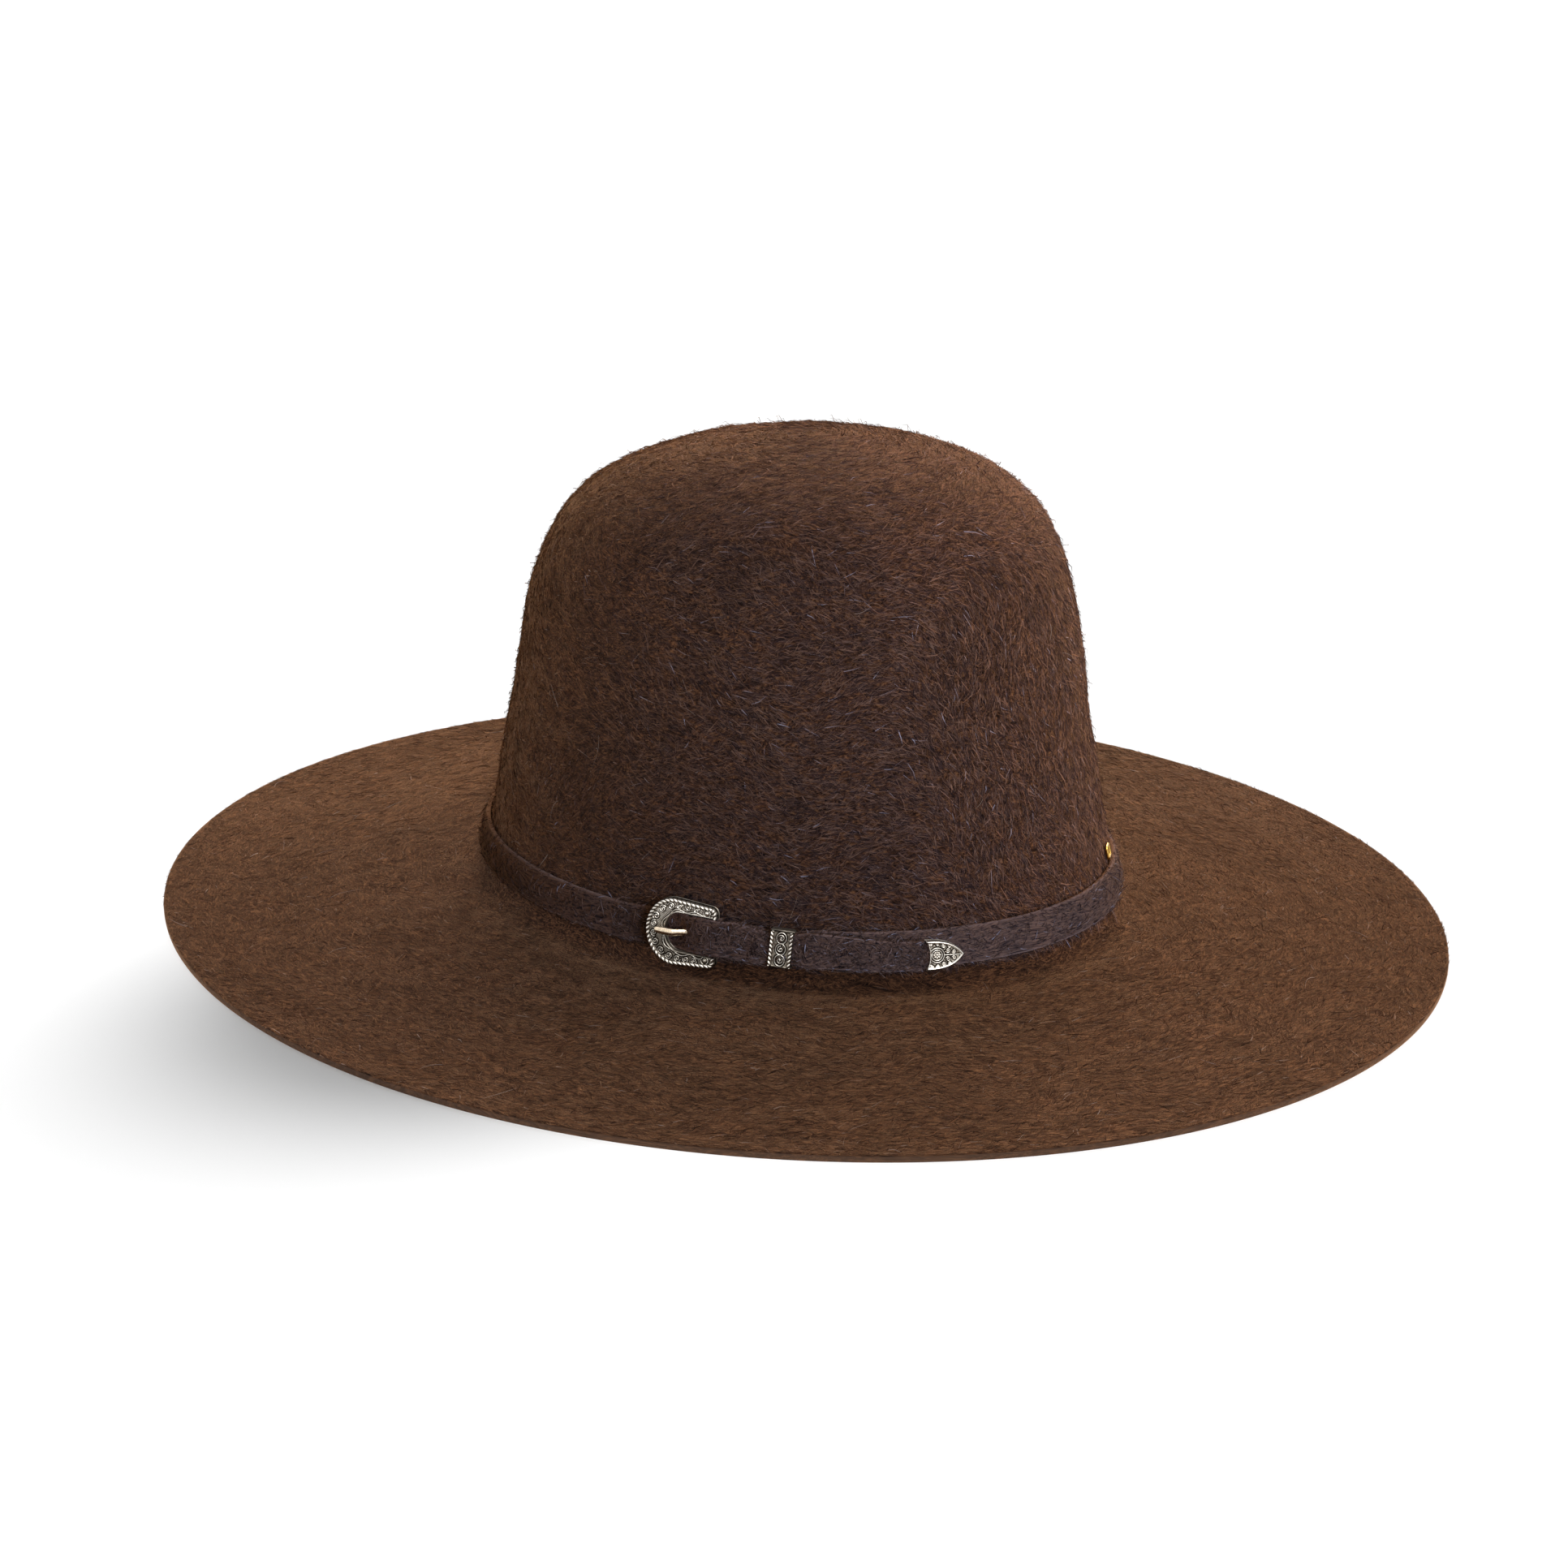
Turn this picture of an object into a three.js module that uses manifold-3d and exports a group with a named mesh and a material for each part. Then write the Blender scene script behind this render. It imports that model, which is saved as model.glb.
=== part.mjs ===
// Open-crown felt hat with a felt strap hatband and a three-piece metal buckle set.
// Millimetres, +Z up. The brim's rim rests on z = 0 and the origin lies under the middle of the brim.
// -Y is the front of the hat, +Y its back, +X the wearer's left, where the buckle is.

import * as THREE from 'three';
import { mergeVertices } from 'three/addons/utils/BufferGeometryUtils.js';
import Module from 'manifold-3d';

const wasm = await Module();
wasm.setup();

// Felt body
const CROWN_LENGTH = 205;
const CROWN_WIDTH = 170;
const CROWN_HEIGHT = 138;
const CROWN_LEAN = 2;
const CROWN_ROUNDING = 0.12;
const BRIM_WIDTH = 98.5;
const BRIM_DROP = 4.2;
const BRIM_BREAK = 5.5;
const RIM_LAND = 8;
const FELT = 1.8;

// Strap; its skive, pinch and the two widths after them are shares of its own thickness and width
const STRAP_WIDTH = 10.6;
const STRAP_THICK = 1.8;
const STRAP_EDGE = 0.5;
const STRAP_ABOVE_BREAK = 0.1;
const STRAP_END_THICK = 0.6;
const TONGUE_HOLE_LENGTH = 6;
const TONGUE_HOLE_AT = 0.6;
const STRAP_DROOP = 1.6;
const BAR_SKIVE = 0.8;
const PINCH = 0.63;
const PINCH_RAMP = 3.5;
const KEEPER_WIDTH = 0.82;
const OVER_WIDTH = 0.94;

// Places along the strap, from the middle of the buckle, counter-clockwise seen from above
const BUCKLE_TURN = 11.7;
const BAR_AT = 8;
const KEEPER_AT = 28.8;
const TIP_AT = 67.8;

// Buckle
const BUCKLE_LENGTH = 22.2;
const BUCKLE_HEIGHT = 19.6;
const BUCKLE_END_HEIGHT = 18;
const BUCKLE_OPENING = 11;
const BUCKLE_SIDE = 6;
const BUCKLE_BEND = 9;
const BUCKLE_INNER_BEND = 4.4;
const BUCKLE_RAISE = 1;
const BUCKLE_THICK = 2;
const BUCKLE_BEVEL = 0.35;
const BUCKLE_CORNER = 2.2;
const BAR_DIAMETER = 1.1;
const LUG_WIDTH = 1.5;
const EYE_WALL = 0.6;

// Tongue
const TONGUE_WIDTH = 1.7;
const TONGUE_THICK = 1.2;
const TONGUE_EDGE = 0.42;
const TONGUE_SHORT = 2.6;

// Keeper and strap tip
const KEEPER_LENGTH = 6.7;
const KEEPER_SLANT = 4;
const KEEPER_WALL = 0.5;
const KEEPER_FRONT = 0.8;
const TIP_LENGTH = 11;
const TIP_HEIGHT = 8.4;
const TIP_WALL = 0.6;
const TIP_HOLLOW = 1.4;
const TIP_BEVEL = 0.2;
const TIP_POCKET = 5;
const TIP_DISH = 1.6;
const TIP_BULGE = 1.1;
const TIP_BULGE_AT = 0.74;

// Side pin
const PIN_TURN = 110;
const PIN_LENGTH = 5;
const PIN_HEIGHT = 4.4;
const PIN_THICK = 1;
const PIN_BORDER = 1;
const PIN_ABOVE_STRAP = 0.5;
const PIN_CORNER = 0.7;

// Clearance between neighbouring pieces
const GAP = 0.3;
const SMALL_GAP = 0.25;

// How finely curved faces are cut into flat ones; above the shoulder section the crown has twice the rings
const OVAL_SIDES = 64;
const BREAK_STEPS = 3;
const SHOULDER = 4;
const STRAP_STEP = 8;
const STRAP_FINE_STEP = 2;
const ROUND_SIDES = 16;
const CURVE_STEPS = 8;
const CORNER_STEPS = 4;
const CHORDS = 3600;
const WELD = 1e-5;

// Crown sections from foot to apex: shares of the crown's height and of its oval's girth
const CROWN_SECTIONS = [
  { height: 0, girth: 1 },
  { height: 0.1, girth: 0.973 },
  { height: 0.25, girth: 0.945 },
  { height: 0.4, girth: 0.917 },
  { height: 0.55, girth: 0.891 },
  { height: 0.68, girth: 0.857 },
  { height: 0.78, girth: 0.808 },
  { height: 0.86, girth: 0.731 },
  { height: 0.92, girth: 0.602 },
  { height: 0.965, girth: 0.42 },
  { height: 0.991, girth: 0.2 },
  { height: 1, girth: 0 },
];

// Brim sections from the break to the flat rim: shares of the sloping width and of the drop
const BRIM_SECTIONS = [
  { out: 0.16, drop: 0.16 },
  { out: 0.4, drop: 0.45 },
  { out: 0.7, drop: 0.8 },
  { out: 1, drop: 1 },
];

const BRIM_TOP = FELT + BRIM_DROP;
const CROWN_FOOT = BRIM_TOP + BRIM_BREAK;
const CROWN_RISE = CROWN_HEIGHT - BRIM_BREAK;

// Crown oval at a share of the height: half axes and how far its middle has leant back
function crownOval(height, girth) {
  return {
    halfWidth: (CROWN_WIDTH / 2) * girth * (1 + CROWN_ROUNDING * height),
    halfLength: (CROWN_LENGTH / 2) * girth * (1 - CROWN_ROUNDING * height),
    back: CROWN_LEAN * height * height,
    z: CROWN_FOOT + CROWN_RISE * height,
  };
}

function ovalPoint(oval, turn) {
  const x = oval.halfWidth * Math.cos(turn);
  const y = oval.back + oval.halfLength * Math.sin(turn);
  return new THREE.Vector3(x, y, oval.z);
}

function ovalRing(oval) {
  return Array.from({ length: OVAL_SIDES }, (_, i) => ovalPoint(oval, (2 * Math.PI * i) / OVAL_SIDES));
}

// Smooth crown profile; the sections next to the apex are mirrored past it to round the top
const mirrored = CROWN_SECTIONS.slice(-3, -1).reverse();
const profile = new THREE.SplineCurve([
  ...CROWN_SECTIONS.map((row) => new THREE.Vector2(row.girth, row.height)),
  ...mirrored.map((row) => new THREE.Vector2(-row.girth, row.height)),
]);
const PROFILE_SPANS = profile.points.length - 1;

function profileAt(section) {
  const point = profile.getPoint(section / PROFILE_SPANS);
  return crownOval(point.y, Math.max(point.x, 0));
}

// Girth of the crown wall at a height z, between the sections
function wallOvalAt(z) {
  const share = (z - CROWN_FOOT) / CROWN_RISE;
  const above = Math.max(1, CROWN_SECTIONS.findIndex((row) => row.height > share));
  const [low, high] = [CROWN_SECTIONS[above - 1], CROWN_SECTIONS[above]];
  const mix = (share - low.height) / (high.height - low.height);
  return crownOval(share, THREE.MathUtils.lerp(low.girth, high.girth, mix));
}

// Closed solid through rings of points, with a point that closes each end
function ringSolid(rings, firstPole, lastPole) {
  const sides = rings[0].length;
  const points = [...rings.flat(), firstPole, lastPole];
  const [first, last] = [points.length - 2, points.length - 1];
  const faces = [];
  const lastRow = (rings.length - 1) * sides;
  for (let i = 0; i < sides; i += 1) {
    const next = (i + 1) % sides;
    faces.push(first, i, next);
    faces.push(last, lastRow + next, lastRow + i);
  }
  for (let row = 0; row < rings.length - 1; row += 1) {
    for (let i = 0; i < sides; i += 1) {
      const next = (i + 1) % sides;
      const [a, b] = [row * sides + i, row * sides + next];
      faces.push(a, a + sides, b + sides);
      faces.push(a, b + sides, b);
    }
  }
  const geometry = new THREE.BufferGeometry();
  geometry.setAttribute('position', new THREE.Float32BufferAttribute(points.flatMap((p) => p.toArray()), 3));
  geometry.setIndex(faces);
  return geometry;
}

// Boolean cuts and joins
function solidOf(geometry) {
  const bare = geometry.clone();
  bare.deleteAttribute('normal');
  bare.deleteAttribute('uv');
  const merged = mergeVertices(bare, WELD);
  const vertProperties = new Float32Array(merged.attributes.position.array);
  const triVerts = new Uint32Array(merged.index.array);
  return new wasm.Manifold(new wasm.Mesh({ numProp: 3, vertProperties, triVerts }));
}

function geometryOf(solid) {
  const mesh = solid.getMesh();
  const geometry = new THREE.BufferGeometry();
  geometry.setAttribute('position', new THREE.BufferAttribute(new Float32Array(mesh.vertProperties), 3));
  geometry.setIndex(new THREE.BufferAttribute(new Uint32Array(mesh.triVerts), 1));
  return geometry;
}

function joined(geometries) {
  return geometries.map(solidOf).reduce((whole, piece) => whole.add(piece));
}

function box(along, up, out) {
  const size = [along, up, out].map(([low, high]) => high - low);
  const middle = [along, up, out].map(([low, high]) => (high + low) / 2);
  return new THREE.BoxGeometry(...size).translate(...middle);
}

function post(radius, length, along, out) {
  return new THREE.CylinderGeometry(radius, radius, length, ROUND_SIDES).translate(along, 0, out);
}

// Felt body: outer skin from apex to rim, inner skin back to the apex
function feltRings() {
  const crown = [];
  for (let section = 0; section < CROWN_SECTIONS.length - 1; section += section < SHOULDER ? 1 : 0.5) {
    crown.unshift(ovalRing(profileAt(section)));
  }
  const foot = crownOval(0, 1);
  const outward = (offset, z) => ovalRing({
    halfWidth: foot.halfWidth + offset,
    halfLength: foot.halfLength + offset,
    back: 0,
    z,
  });
  const brim = [];
  for (let step = 1; step <= BREAK_STEPS; step += 1) {
    const angle = (Math.PI / 2) * (step / BREAK_STEPS);
    brim.push(outward(BRIM_BREAK * (1 - Math.cos(angle)), BRIM_TOP + BRIM_BREAK * (1 - Math.sin(angle))));
  }
  const slope = BRIM_WIDTH - BRIM_BREAK - RIM_LAND;
  for (const { out, drop } of BRIM_SECTIONS) {
    brim.push(outward(BRIM_BREAK + slope * out, BRIM_TOP - BRIM_DROP * drop));
  }
  brim.push(outward(BRIM_WIDTH - RIM_LAND / 2, FELT));
  brim.push(outward(BRIM_WIDTH, FELT));
  return [...crown, ...brim];
}

function innerRings(rings, apex) {
  return rings.map((ring, row) => ring.map((point, i) => {
    const before = row > 0 ? rings[row - 1][i] : apex;
    const after = row < rings.length - 1 ? rings[row + 1][i] : point;
    const down = after.clone().sub(before);
    const side = ring[(i + 1) % ring.length].clone().sub(ring[(i + ring.length - 1) % ring.length]);
    return point.clone().addScaledVector(down.cross(side).normalize(), -FELT);
  }));
}

function feltBody() {
  const apex = ovalPoint(crownOval(1, 0), 0);
  const outer = feltRings();
  const inner = innerRings(outer, apex).reverse();
  const innerApex = apex.clone().setZ(apex.z - FELT);
  return ringSolid([...outer, ...inner], apex, innerApex);
}

// The strap follows the crown wall: its middle line, and the wall's tilt there
const STRAP_LOW = CROWN_FOOT + STRAP_ABOVE_BREAK;
const STRAP_MIDDLE = STRAP_LOW + STRAP_WIDTH / 2;
const strapOval = wallOvalAt(STRAP_MIDDLE);
const lowOval = wallOvalAt(STRAP_LOW);
const highOval = wallOvalAt(STRAP_LOW + STRAP_WIDTH);

// Axes on the crown wall at a turn of the oval: along the strap, up the wall and out of it
function wallAxes(turn, low, high) {
  const up = ovalPoint(high, turn).sub(ovalPoint(low, turn)).normalize();
  const sideways = new THREE.Vector3(-low.halfWidth * Math.sin(turn), low.halfLength * Math.cos(turn), 0);
  const out = sideways.clone().cross(up).normalize();
  return { along: sideways.normalize(), up: out.clone().cross(sideways).normalize(), out };
}

// Turn of the oval for each length along it, by adding up short chords
const chordEnds = [0];
const chordTurn = (i) => THREE.MathUtils.degToRad(BUCKLE_TURN) + (2 * Math.PI * i) / CHORDS;
for (let i = 1; i <= CHORDS; i += 1) {
  const chord = ovalPoint(strapOval, chordTurn(i - 1)).distanceTo(ovalPoint(strapOval, chordTurn(i)));
  chordEnds.push(chordEnds[i - 1] + chord);
}
const STRAP_LOOP = chordEnds[CHORDS];

function turnAt(along) {
  const length = ((along % STRAP_LOOP) + STRAP_LOOP) % STRAP_LOOP;
  const above = chordEnds.findIndex((end) => end > length);
  const mix = (length - chordEnds[above - 1]) / (chordEnds[above] - chordEnds[above - 1]);
  return chordTurn(above - 1 + mix);
}

function strapPlace(along, raise = 0) {
  const turn = turnAt(along);
  const axes = wallAxes(turn, lowOval, highOval);
  return { origin: ovalPoint(strapOval, turn).addScaledVector(axes.up, raise), ...axes };
}

function named(name, geometry, material) {
  const mesh = new THREE.Mesh(geometry, material);
  mesh.name = name;
  return mesh;
}

function placedOn(place, name, geometry, material) {
  const mesh = named(name, geometry, material);
  mesh.quaternion.setFromRotationMatrix(new THREE.Matrix4().makeBasis(place.along, place.up, place.out));
  mesh.position.copy(place.origin);
  return mesh;
}

// Heights off the crown wall. The strap lies on the wall, over its own start past the buckle,
// over the eye on the buckle's bar, and pinched together in the keeper.
const UNDER = GAP;
const OVER = UNDER + STRAP_THICK + GAP;
const EYE_RADIUS = BAR_DIAMETER / 2 + SMALL_GAP + EYE_WALL;
const BAR_HEIGHT = GAP + EYE_RADIUS;
const OVER_BAR = BAR_HEIGHT + EYE_RADIUS + GAP;
const UNDER_KEEPER = GAP + KEEPER_WALL + SMALL_GAP;
const OVER_KEEPER = UNDER_KEEPER + STRAP_THICK * PINCH + SMALL_GAP;
const KEEPER_TOP = OVER_KEEPER + STRAP_THICK * PINCH + SMALL_GAP;
const TIP_MIDDLE = OVER + TIP_WALL + TIP_HOLLOW / 2;
const FRAME_HEIGHT = OVER;

// Strap from its sewn end on the bar, once round the crown and over itself to the tip.
// at: along the strap; lift: of its inner face; raise: up the wall; wide and thick: shares of its own.
const KEEPER_HALF = KEEPER_LENGTH / 2 + GAP;
const FRAME_WIDTH = (BUCKLE_OPENING - 2 * GAP) / STRAP_WIDTH;
const TIP_WIDTH = TIP_HEIGHT / STRAP_WIDTH;
const HEAD_WIDTH = (TIP_HEIGHT - 2 * TIP_WALL - 2 * GAP) / STRAP_WIDTH;
const HEAD_THICK = STRAP_END_THICK / STRAP_THICK;
const HEAD_LIFT = TIP_MIDDLE - STRAP_END_THICK / 2;
const SHOULDER_AT = TIP_AT - 2 * GAP;

const onWall = (at) => ({ at, lift: UNDER, raise: 0, wide: 1, thick: 1 });
const onItself = (at, raise, wide) => ({ at: STRAP_LOOP + at, lift: OVER, raise, wide, thick: 1 });
const pinched = (at, lift) => ({ at, lift, raise: 0, wide: KEEPER_WIDTH, thick: PINCH });
const onBar = (at) => ({ ...onItself(at, BUCKLE_RAISE, FRAME_WIDTH), lift: OVER_BAR, thick: BAR_SKIVE });
const inTip = (at) => ({ ...onItself(at, -STRAP_DROOP, HEAD_WIDTH), lift: HEAD_LIFT, thick: HEAD_THICK });

const STRAP_RUN = [
  { ...onWall(BAR_AT), raise: BUCKLE_RAISE, wide: FRAME_WIDTH },
  { ...onWall(BAR_AT + EYE_RADIUS), raise: BUCKLE_RAISE, wide: FRAME_WIDTH },
  onWall(BUCKLE_LENGTH / 2 + PINCH_RAMP),
  onWall(KEEPER_AT - KEEPER_HALF - PINCH_RAMP),
  pinched(KEEPER_AT - KEEPER_HALF, UNDER_KEEPER),
  pinched(KEEPER_AT + KEEPER_HALF, UNDER_KEEPER),
  onWall(KEEPER_AT + KEEPER_HALF + PINCH_RAMP),
  onWall(STRAP_LOOP - BUCKLE_LENGTH),
  { ...onWall(STRAP_LOOP - BUCKLE_LENGTH / 2 + BUCKLE_SIDE), raise: BUCKLE_RAISE, wide: FRAME_WIDTH },
  onBar(BAR_AT - EYE_RADIUS),
  onBar(BAR_AT + EYE_RADIUS),
  onItself(BUCKLE_LENGTH / 2 + PINCH_RAMP, BUCKLE_RAISE, FRAME_WIDTH),
  onItself(KEEPER_AT - KEEPER_HALF - PINCH_RAMP, 0, OVER_WIDTH),
  pinched(STRAP_LOOP + KEEPER_AT - KEEPER_HALF, OVER_KEEPER),
  pinched(STRAP_LOOP + KEEPER_AT + KEEPER_HALF, OVER_KEEPER),
  onItself(KEEPER_AT + KEEPER_HALF + PINCH_RAMP, 0, OVER_WIDTH),
  onItself(SHOULDER_AT - PINCH_RAMP, -STRAP_DROOP, TIP_WIDTH),
  onItself(SHOULDER_AT, -STRAP_DROOP, TIP_WIDTH),
  inTip(SHOULDER_AT + GAP),
  inTip(TIP_AT + TIP_POCKET - GAP),
];

function strapAt(along) {
  const above = Math.max(1, STRAP_RUN.findIndex((row) => row.at >= along));
  const [low, high] = [STRAP_RUN[above - 1], STRAP_RUN[above]];
  const mix = THREE.MathUtils.smoothstep(along, low.at, high.at);
  return {
    lift: THREE.MathUtils.lerp(low.lift, high.lift, mix),
    raise: THREE.MathUtils.lerp(low.raise, high.raise, mix),
    wide: STRAP_WIDTH * THREE.MathUtils.lerp(low.wide, high.wide, mix),
    thick: STRAP_THICK * THREE.MathUtils.lerp(low.thick, high.thick, mix),
  };
}

// Cross-section of the strap: a rectangle with its four long edges taken off
function strapSection(along) {
  const { origin, up, out } = strapPlace(along);
  const { lift, raise, wide, thick } = strapAt(along);
  const edge = Math.min(STRAP_EDGE, thick / 3);
  const half = wide / 2;
  const corners = [
    [-half, lift + edge],
    [-half, lift + thick - edge],
    [-half + edge, lift + thick],
    [half - edge, lift + thick],
    [half, lift + thick - edge],
    [half, lift + edge],
    [half - edge, lift],
    [-half + edge, lift],
  ];
  return corners.map(([u, o]) => origin.clone().addScaledVector(up, raise + u).addScaledVector(out, o));
}

function strapStations() {
  const stations = [];
  STRAP_RUN.slice(1).forEach((row, i) => {
    const start = STRAP_RUN[i];
    const plain = start.lift === row.lift;
    const steps = Math.max(1, Math.round((row.at - start.at) / (plain ? STRAP_STEP : STRAP_FINE_STEP)));
    for (let step = 0; step < steps; step += 1) {
      stations.push(start.at + ((row.at - start.at) * step) / steps);
    }
  });
  return [...stations, STRAP_RUN[STRAP_RUN.length - 1].at];
}

function middleOf(points) {
  return points.reduce((sum, p) => sum.add(p), new THREE.Vector3()).divideScalar(points.length);
}

function inPlace(place, geometry) {
  const turned = new THREE.Matrix4().makeBasis(place.along, place.up, place.out);
  return geometry.clone().applyMatrix4(turned).translate(...place.origin.toArray());
}

// The sewn end is an eye round the buckle's bar, slotted for the tongue's ring
function strapSolid(buckle) {
  const rings = strapStations().map(strapSection);
  const strip = ringSolid(rings, middleOf(rings[0]), middleOf(rings[rings.length - 1]));
  const eye = post(EYE_RADIUS, STRAP_WIDTH * FRAME_WIDTH, BAR_AT, BAR_HEIGHT);
  const bore = post(BAR_DIAMETER / 2 + SMALL_GAP, 2 * STRAP_WIDTH, BAR_AT, BAR_HEIGHT);
  const half = TONGUE_WIDTH / 2 + GAP;
  const reach = EYE_RADIUS + GAP;
  const across = [-half, half];
  const slot = box([BAR_AT - 2 * reach, BAR_AT + reach], across, [-GAP, BAR_HEIGHT + reach - GAP / 2]);
  const holeEnds = [-1, 1].map((end) => TONGUE_HOLE_AT + (end * TONGUE_HOLE_LENGTH) / 2);
  const hole = box(holeEnds, across, [-GAP, OVER_BAR + 2 * STRAP_THICK]);
  return solidOf(strip)
    .add(solidOf(inPlace(buckle, eye)))
    .subtract(solidOf(inPlace(buckle, bore)))
    .subtract(solidOf(inPlace(buckle, slot)))
    .subtract(solidOf(inPlace(buckle, hole)));
}

// Buckle frame: a C open towards the strap's tip, with its bar on two lugs behind the arms
function buckleOutline() {
  const [left, right] = [-BUCKLE_LENGTH / 2, BUCKLE_LENGTH / 2];
  const [half, endHalf, open] = [BUCKLE_HEIGHT / 2, BUCKLE_END_HEIGHT / 2, BUCKLE_OPENING / 2];
  const bend = left + BUCKLE_BEND;
  const innerLeft = left + BUCKLE_SIDE;
  const innerBend = innerLeft + BUCKLE_INNER_BEND;
  const shape = new THREE.Shape();
  shape.moveTo(right - BUCKLE_CORNER, endHalf);
  shape.lineTo(bend, half);
  shape.absellipse(bend, 0, bend - left, half, Math.PI / 2, 1.5 * Math.PI, false);
  shape.lineTo(right - BUCKLE_CORNER, -endHalf);
  shape.absarc(right - BUCKLE_CORNER, BUCKLE_CORNER - endHalf, BUCKLE_CORNER, -Math.PI / 2, 0, false);
  shape.lineTo(right, -open);
  shape.lineTo(innerBend, -open);
  shape.absellipse(innerBend, 0, innerBend - innerLeft, open, 1.5 * Math.PI, Math.PI / 2, true);
  shape.lineTo(right, open);
  shape.absarc(right - BUCKLE_CORNER, endHalf - BUCKLE_CORNER, BUCKLE_CORNER, 0, Math.PI / 2, false);
  return shape;
}

function bevelled(shape, thick, bevel) {
  const geometry = new THREE.ExtrudeGeometry(shape, {
    depth: thick - 2 * bevel,
    bevelEnabled: true,
    bevelThickness: bevel,
    bevelSize: bevel,
    bevelOffset: -bevel,
    bevelSegments: 1,
    curveSegments: CURVE_STEPS,
  });
  return geometry.translate(0, 0, bevel);
}

function buckleFrame() {
  const frame = bevelled(buckleOutline(), BUCKLE_THICK, BUCKLE_BEVEL).translate(0, 0, FRAME_HEIGHT);
  const lugStart = BUCKLE_OPENING / 2 + BUCKLE_BEVEL;
  const lugEnd = lugStart + LUG_WIDTH;
  const radius = BAR_DIAMETER / 2;
  const lugDepth = [BAR_HEIGHT - radius, FRAME_HEIGHT + BUCKLE_THICK / 2];
  const lug = (up) => box([BAR_AT - radius, BAR_AT + radius], up, lugDepth);
  const bar = post(radius, 2 * lugEnd - LUG_WIDTH, BAR_AT, BAR_HEIGHT);
  return joined([frame, lug([lugStart, lugEnd]), lug([-lugEnd, -lugStart]), bar]);
}

// Tongue: a ring on the bar and a blade that comes up through the strap's hole and lies on the frame
function tongue() {
  const radius = EYE_RADIUS;
  const over = FRAME_HEIGHT + BUCKLE_THICK + GAP;
  const ring = new THREE.Shape().absarc(0, 0, radius, 0, 2 * Math.PI, false);
  ring.holes.push(new THREE.Path().absarc(0, 0, BAR_DIAMETER / 2 + SMALL_GAP, 0, 2 * Math.PI, true));
  const settings = { depth: TONGUE_WIDTH, bevelEnabled: false, curveSegments: CURVE_STEPS };
  const collar = new THREE.ExtrudeGeometry(ring, settings);
  collar.translate(0, 0, -TONGUE_WIDTH / 2).rotateX(Math.PI / 2).translate(BAR_AT, 0, BAR_HEIGHT);
  const side = -BUCKLE_LENGTH / 2 + BUCKLE_SIDE;
  const blade = [
    { at: BAR_AT - radius + GAP, low: BAR_HEIGHT - TONGUE_THICK / 2 },
    { at: TONGUE_HOLE_AT + TONGUE_HOLE_LENGTH / 2, low: BAR_HEIGHT - TONGUE_THICK / 3 },
    { at: TONGUE_HOLE_AT - TONGUE_HOLE_LENGTH / 3, low: over },
    { at: side, low: over },
    { at: side - BUCKLE_SIDE + TONGUE_SHORT, low: over },
  ];
  const [half, shy] = [TONGUE_WIDTH / 2, TONGUE_EDGE];
  const rings = blade.map(({ at, low }) => [
    [-half, low],
    [half, low],
    [half, low + TONGUE_THICK - shy],
    [half - shy, low + TONGUE_THICK],
    [-half + shy, low + TONGUE_THICK],
    [-half, low + TONGUE_THICK - shy],
  ].map(([up, out]) => new THREE.Vector3(at, up, out)));
  const bladeSolid = ringSolid(rings, middleOf(rings[0]), middleOf(rings[rings.length - 1]));
  return joined([collar, bladeSolid]);
}

// Keeper: a flat loop round both layers of the strap
function keeper() {
  const slant = (KEEPER_LENGTH / 2) * Math.tan(THREE.MathUtils.degToRad(KEEPER_SLANT));
  const half = (STRAP_WIDTH * KEEPER_WIDTH) / 2 + slant + SMALL_GAP;
  const span = [-KEEPER_LENGTH / 2, KEEPER_LENGTH / 2];
  const outer = box(span, [-half - KEEPER_WALL, half + KEEPER_WALL], [GAP, KEEPER_TOP + KEEPER_FRONT]);
  const inner = box(span.map((end) => 2 * end), [-half, half], [GAP + KEEPER_WALL, KEEPER_TOP]);
  const loop = geometryOf(solidOf(outer).subtract(solidOf(inner)));
  return loop.rotateZ(-THREE.MathUtils.degToRad(KEEPER_SLANT));
}

// Strap tip: a shield with a hollow back end, with a pocket for the strap's thinned end
function tipOutline() {
  const half = TIP_HEIGHT / 2;
  const shape = new THREE.Shape();
  shape.moveTo(0, half);
  shape.quadraticCurveTo(TIP_DISH, half / 2, TIP_DISH, 0);
  shape.quadraticCurveTo(TIP_DISH, -half / 2, 0, -half);
  shape.quadraticCurveTo(TIP_LENGTH * TIP_BULGE_AT, -half * TIP_BULGE, TIP_LENGTH, 0);
  shape.quadraticCurveTo(TIP_LENGTH * TIP_BULGE_AT, half * TIP_BULGE, 0, half);
  return shape;
}

function strapTip() {
  const thick = TIP_HOLLOW + 2 * TIP_WALL;
  const shield = bevelled(tipOutline(), thick, TIP_BEVEL).translate(0, 0, OVER);
  const half = TIP_HEIGHT / 2 - TIP_WALL;
  const floor = OVER + TIP_WALL;
  const pocket = box([-TIP_WALL, TIP_POCKET], [-half, half], [floor, floor + TIP_HOLLOW]);
  return solidOf(shield).subtract(solidOf(pocket));
}

// Side pin: a small open frame that lies on the crown wall above the strap
function roundedRectangle(path, width, height, radius) {
  const [x, y] = [width / 2 - radius, height / 2 - radius];
  path.absarc(x, y, radius, 0, Math.PI / 2, false);
  path.absarc(-x, y, radius, Math.PI / 2, Math.PI, false);
  path.absarc(-x, -y, radius, Math.PI, 1.5 * Math.PI, false);
  path.absarc(x, -y, radius, 1.5 * Math.PI, 2 * Math.PI, false);
  return path;
}

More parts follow.
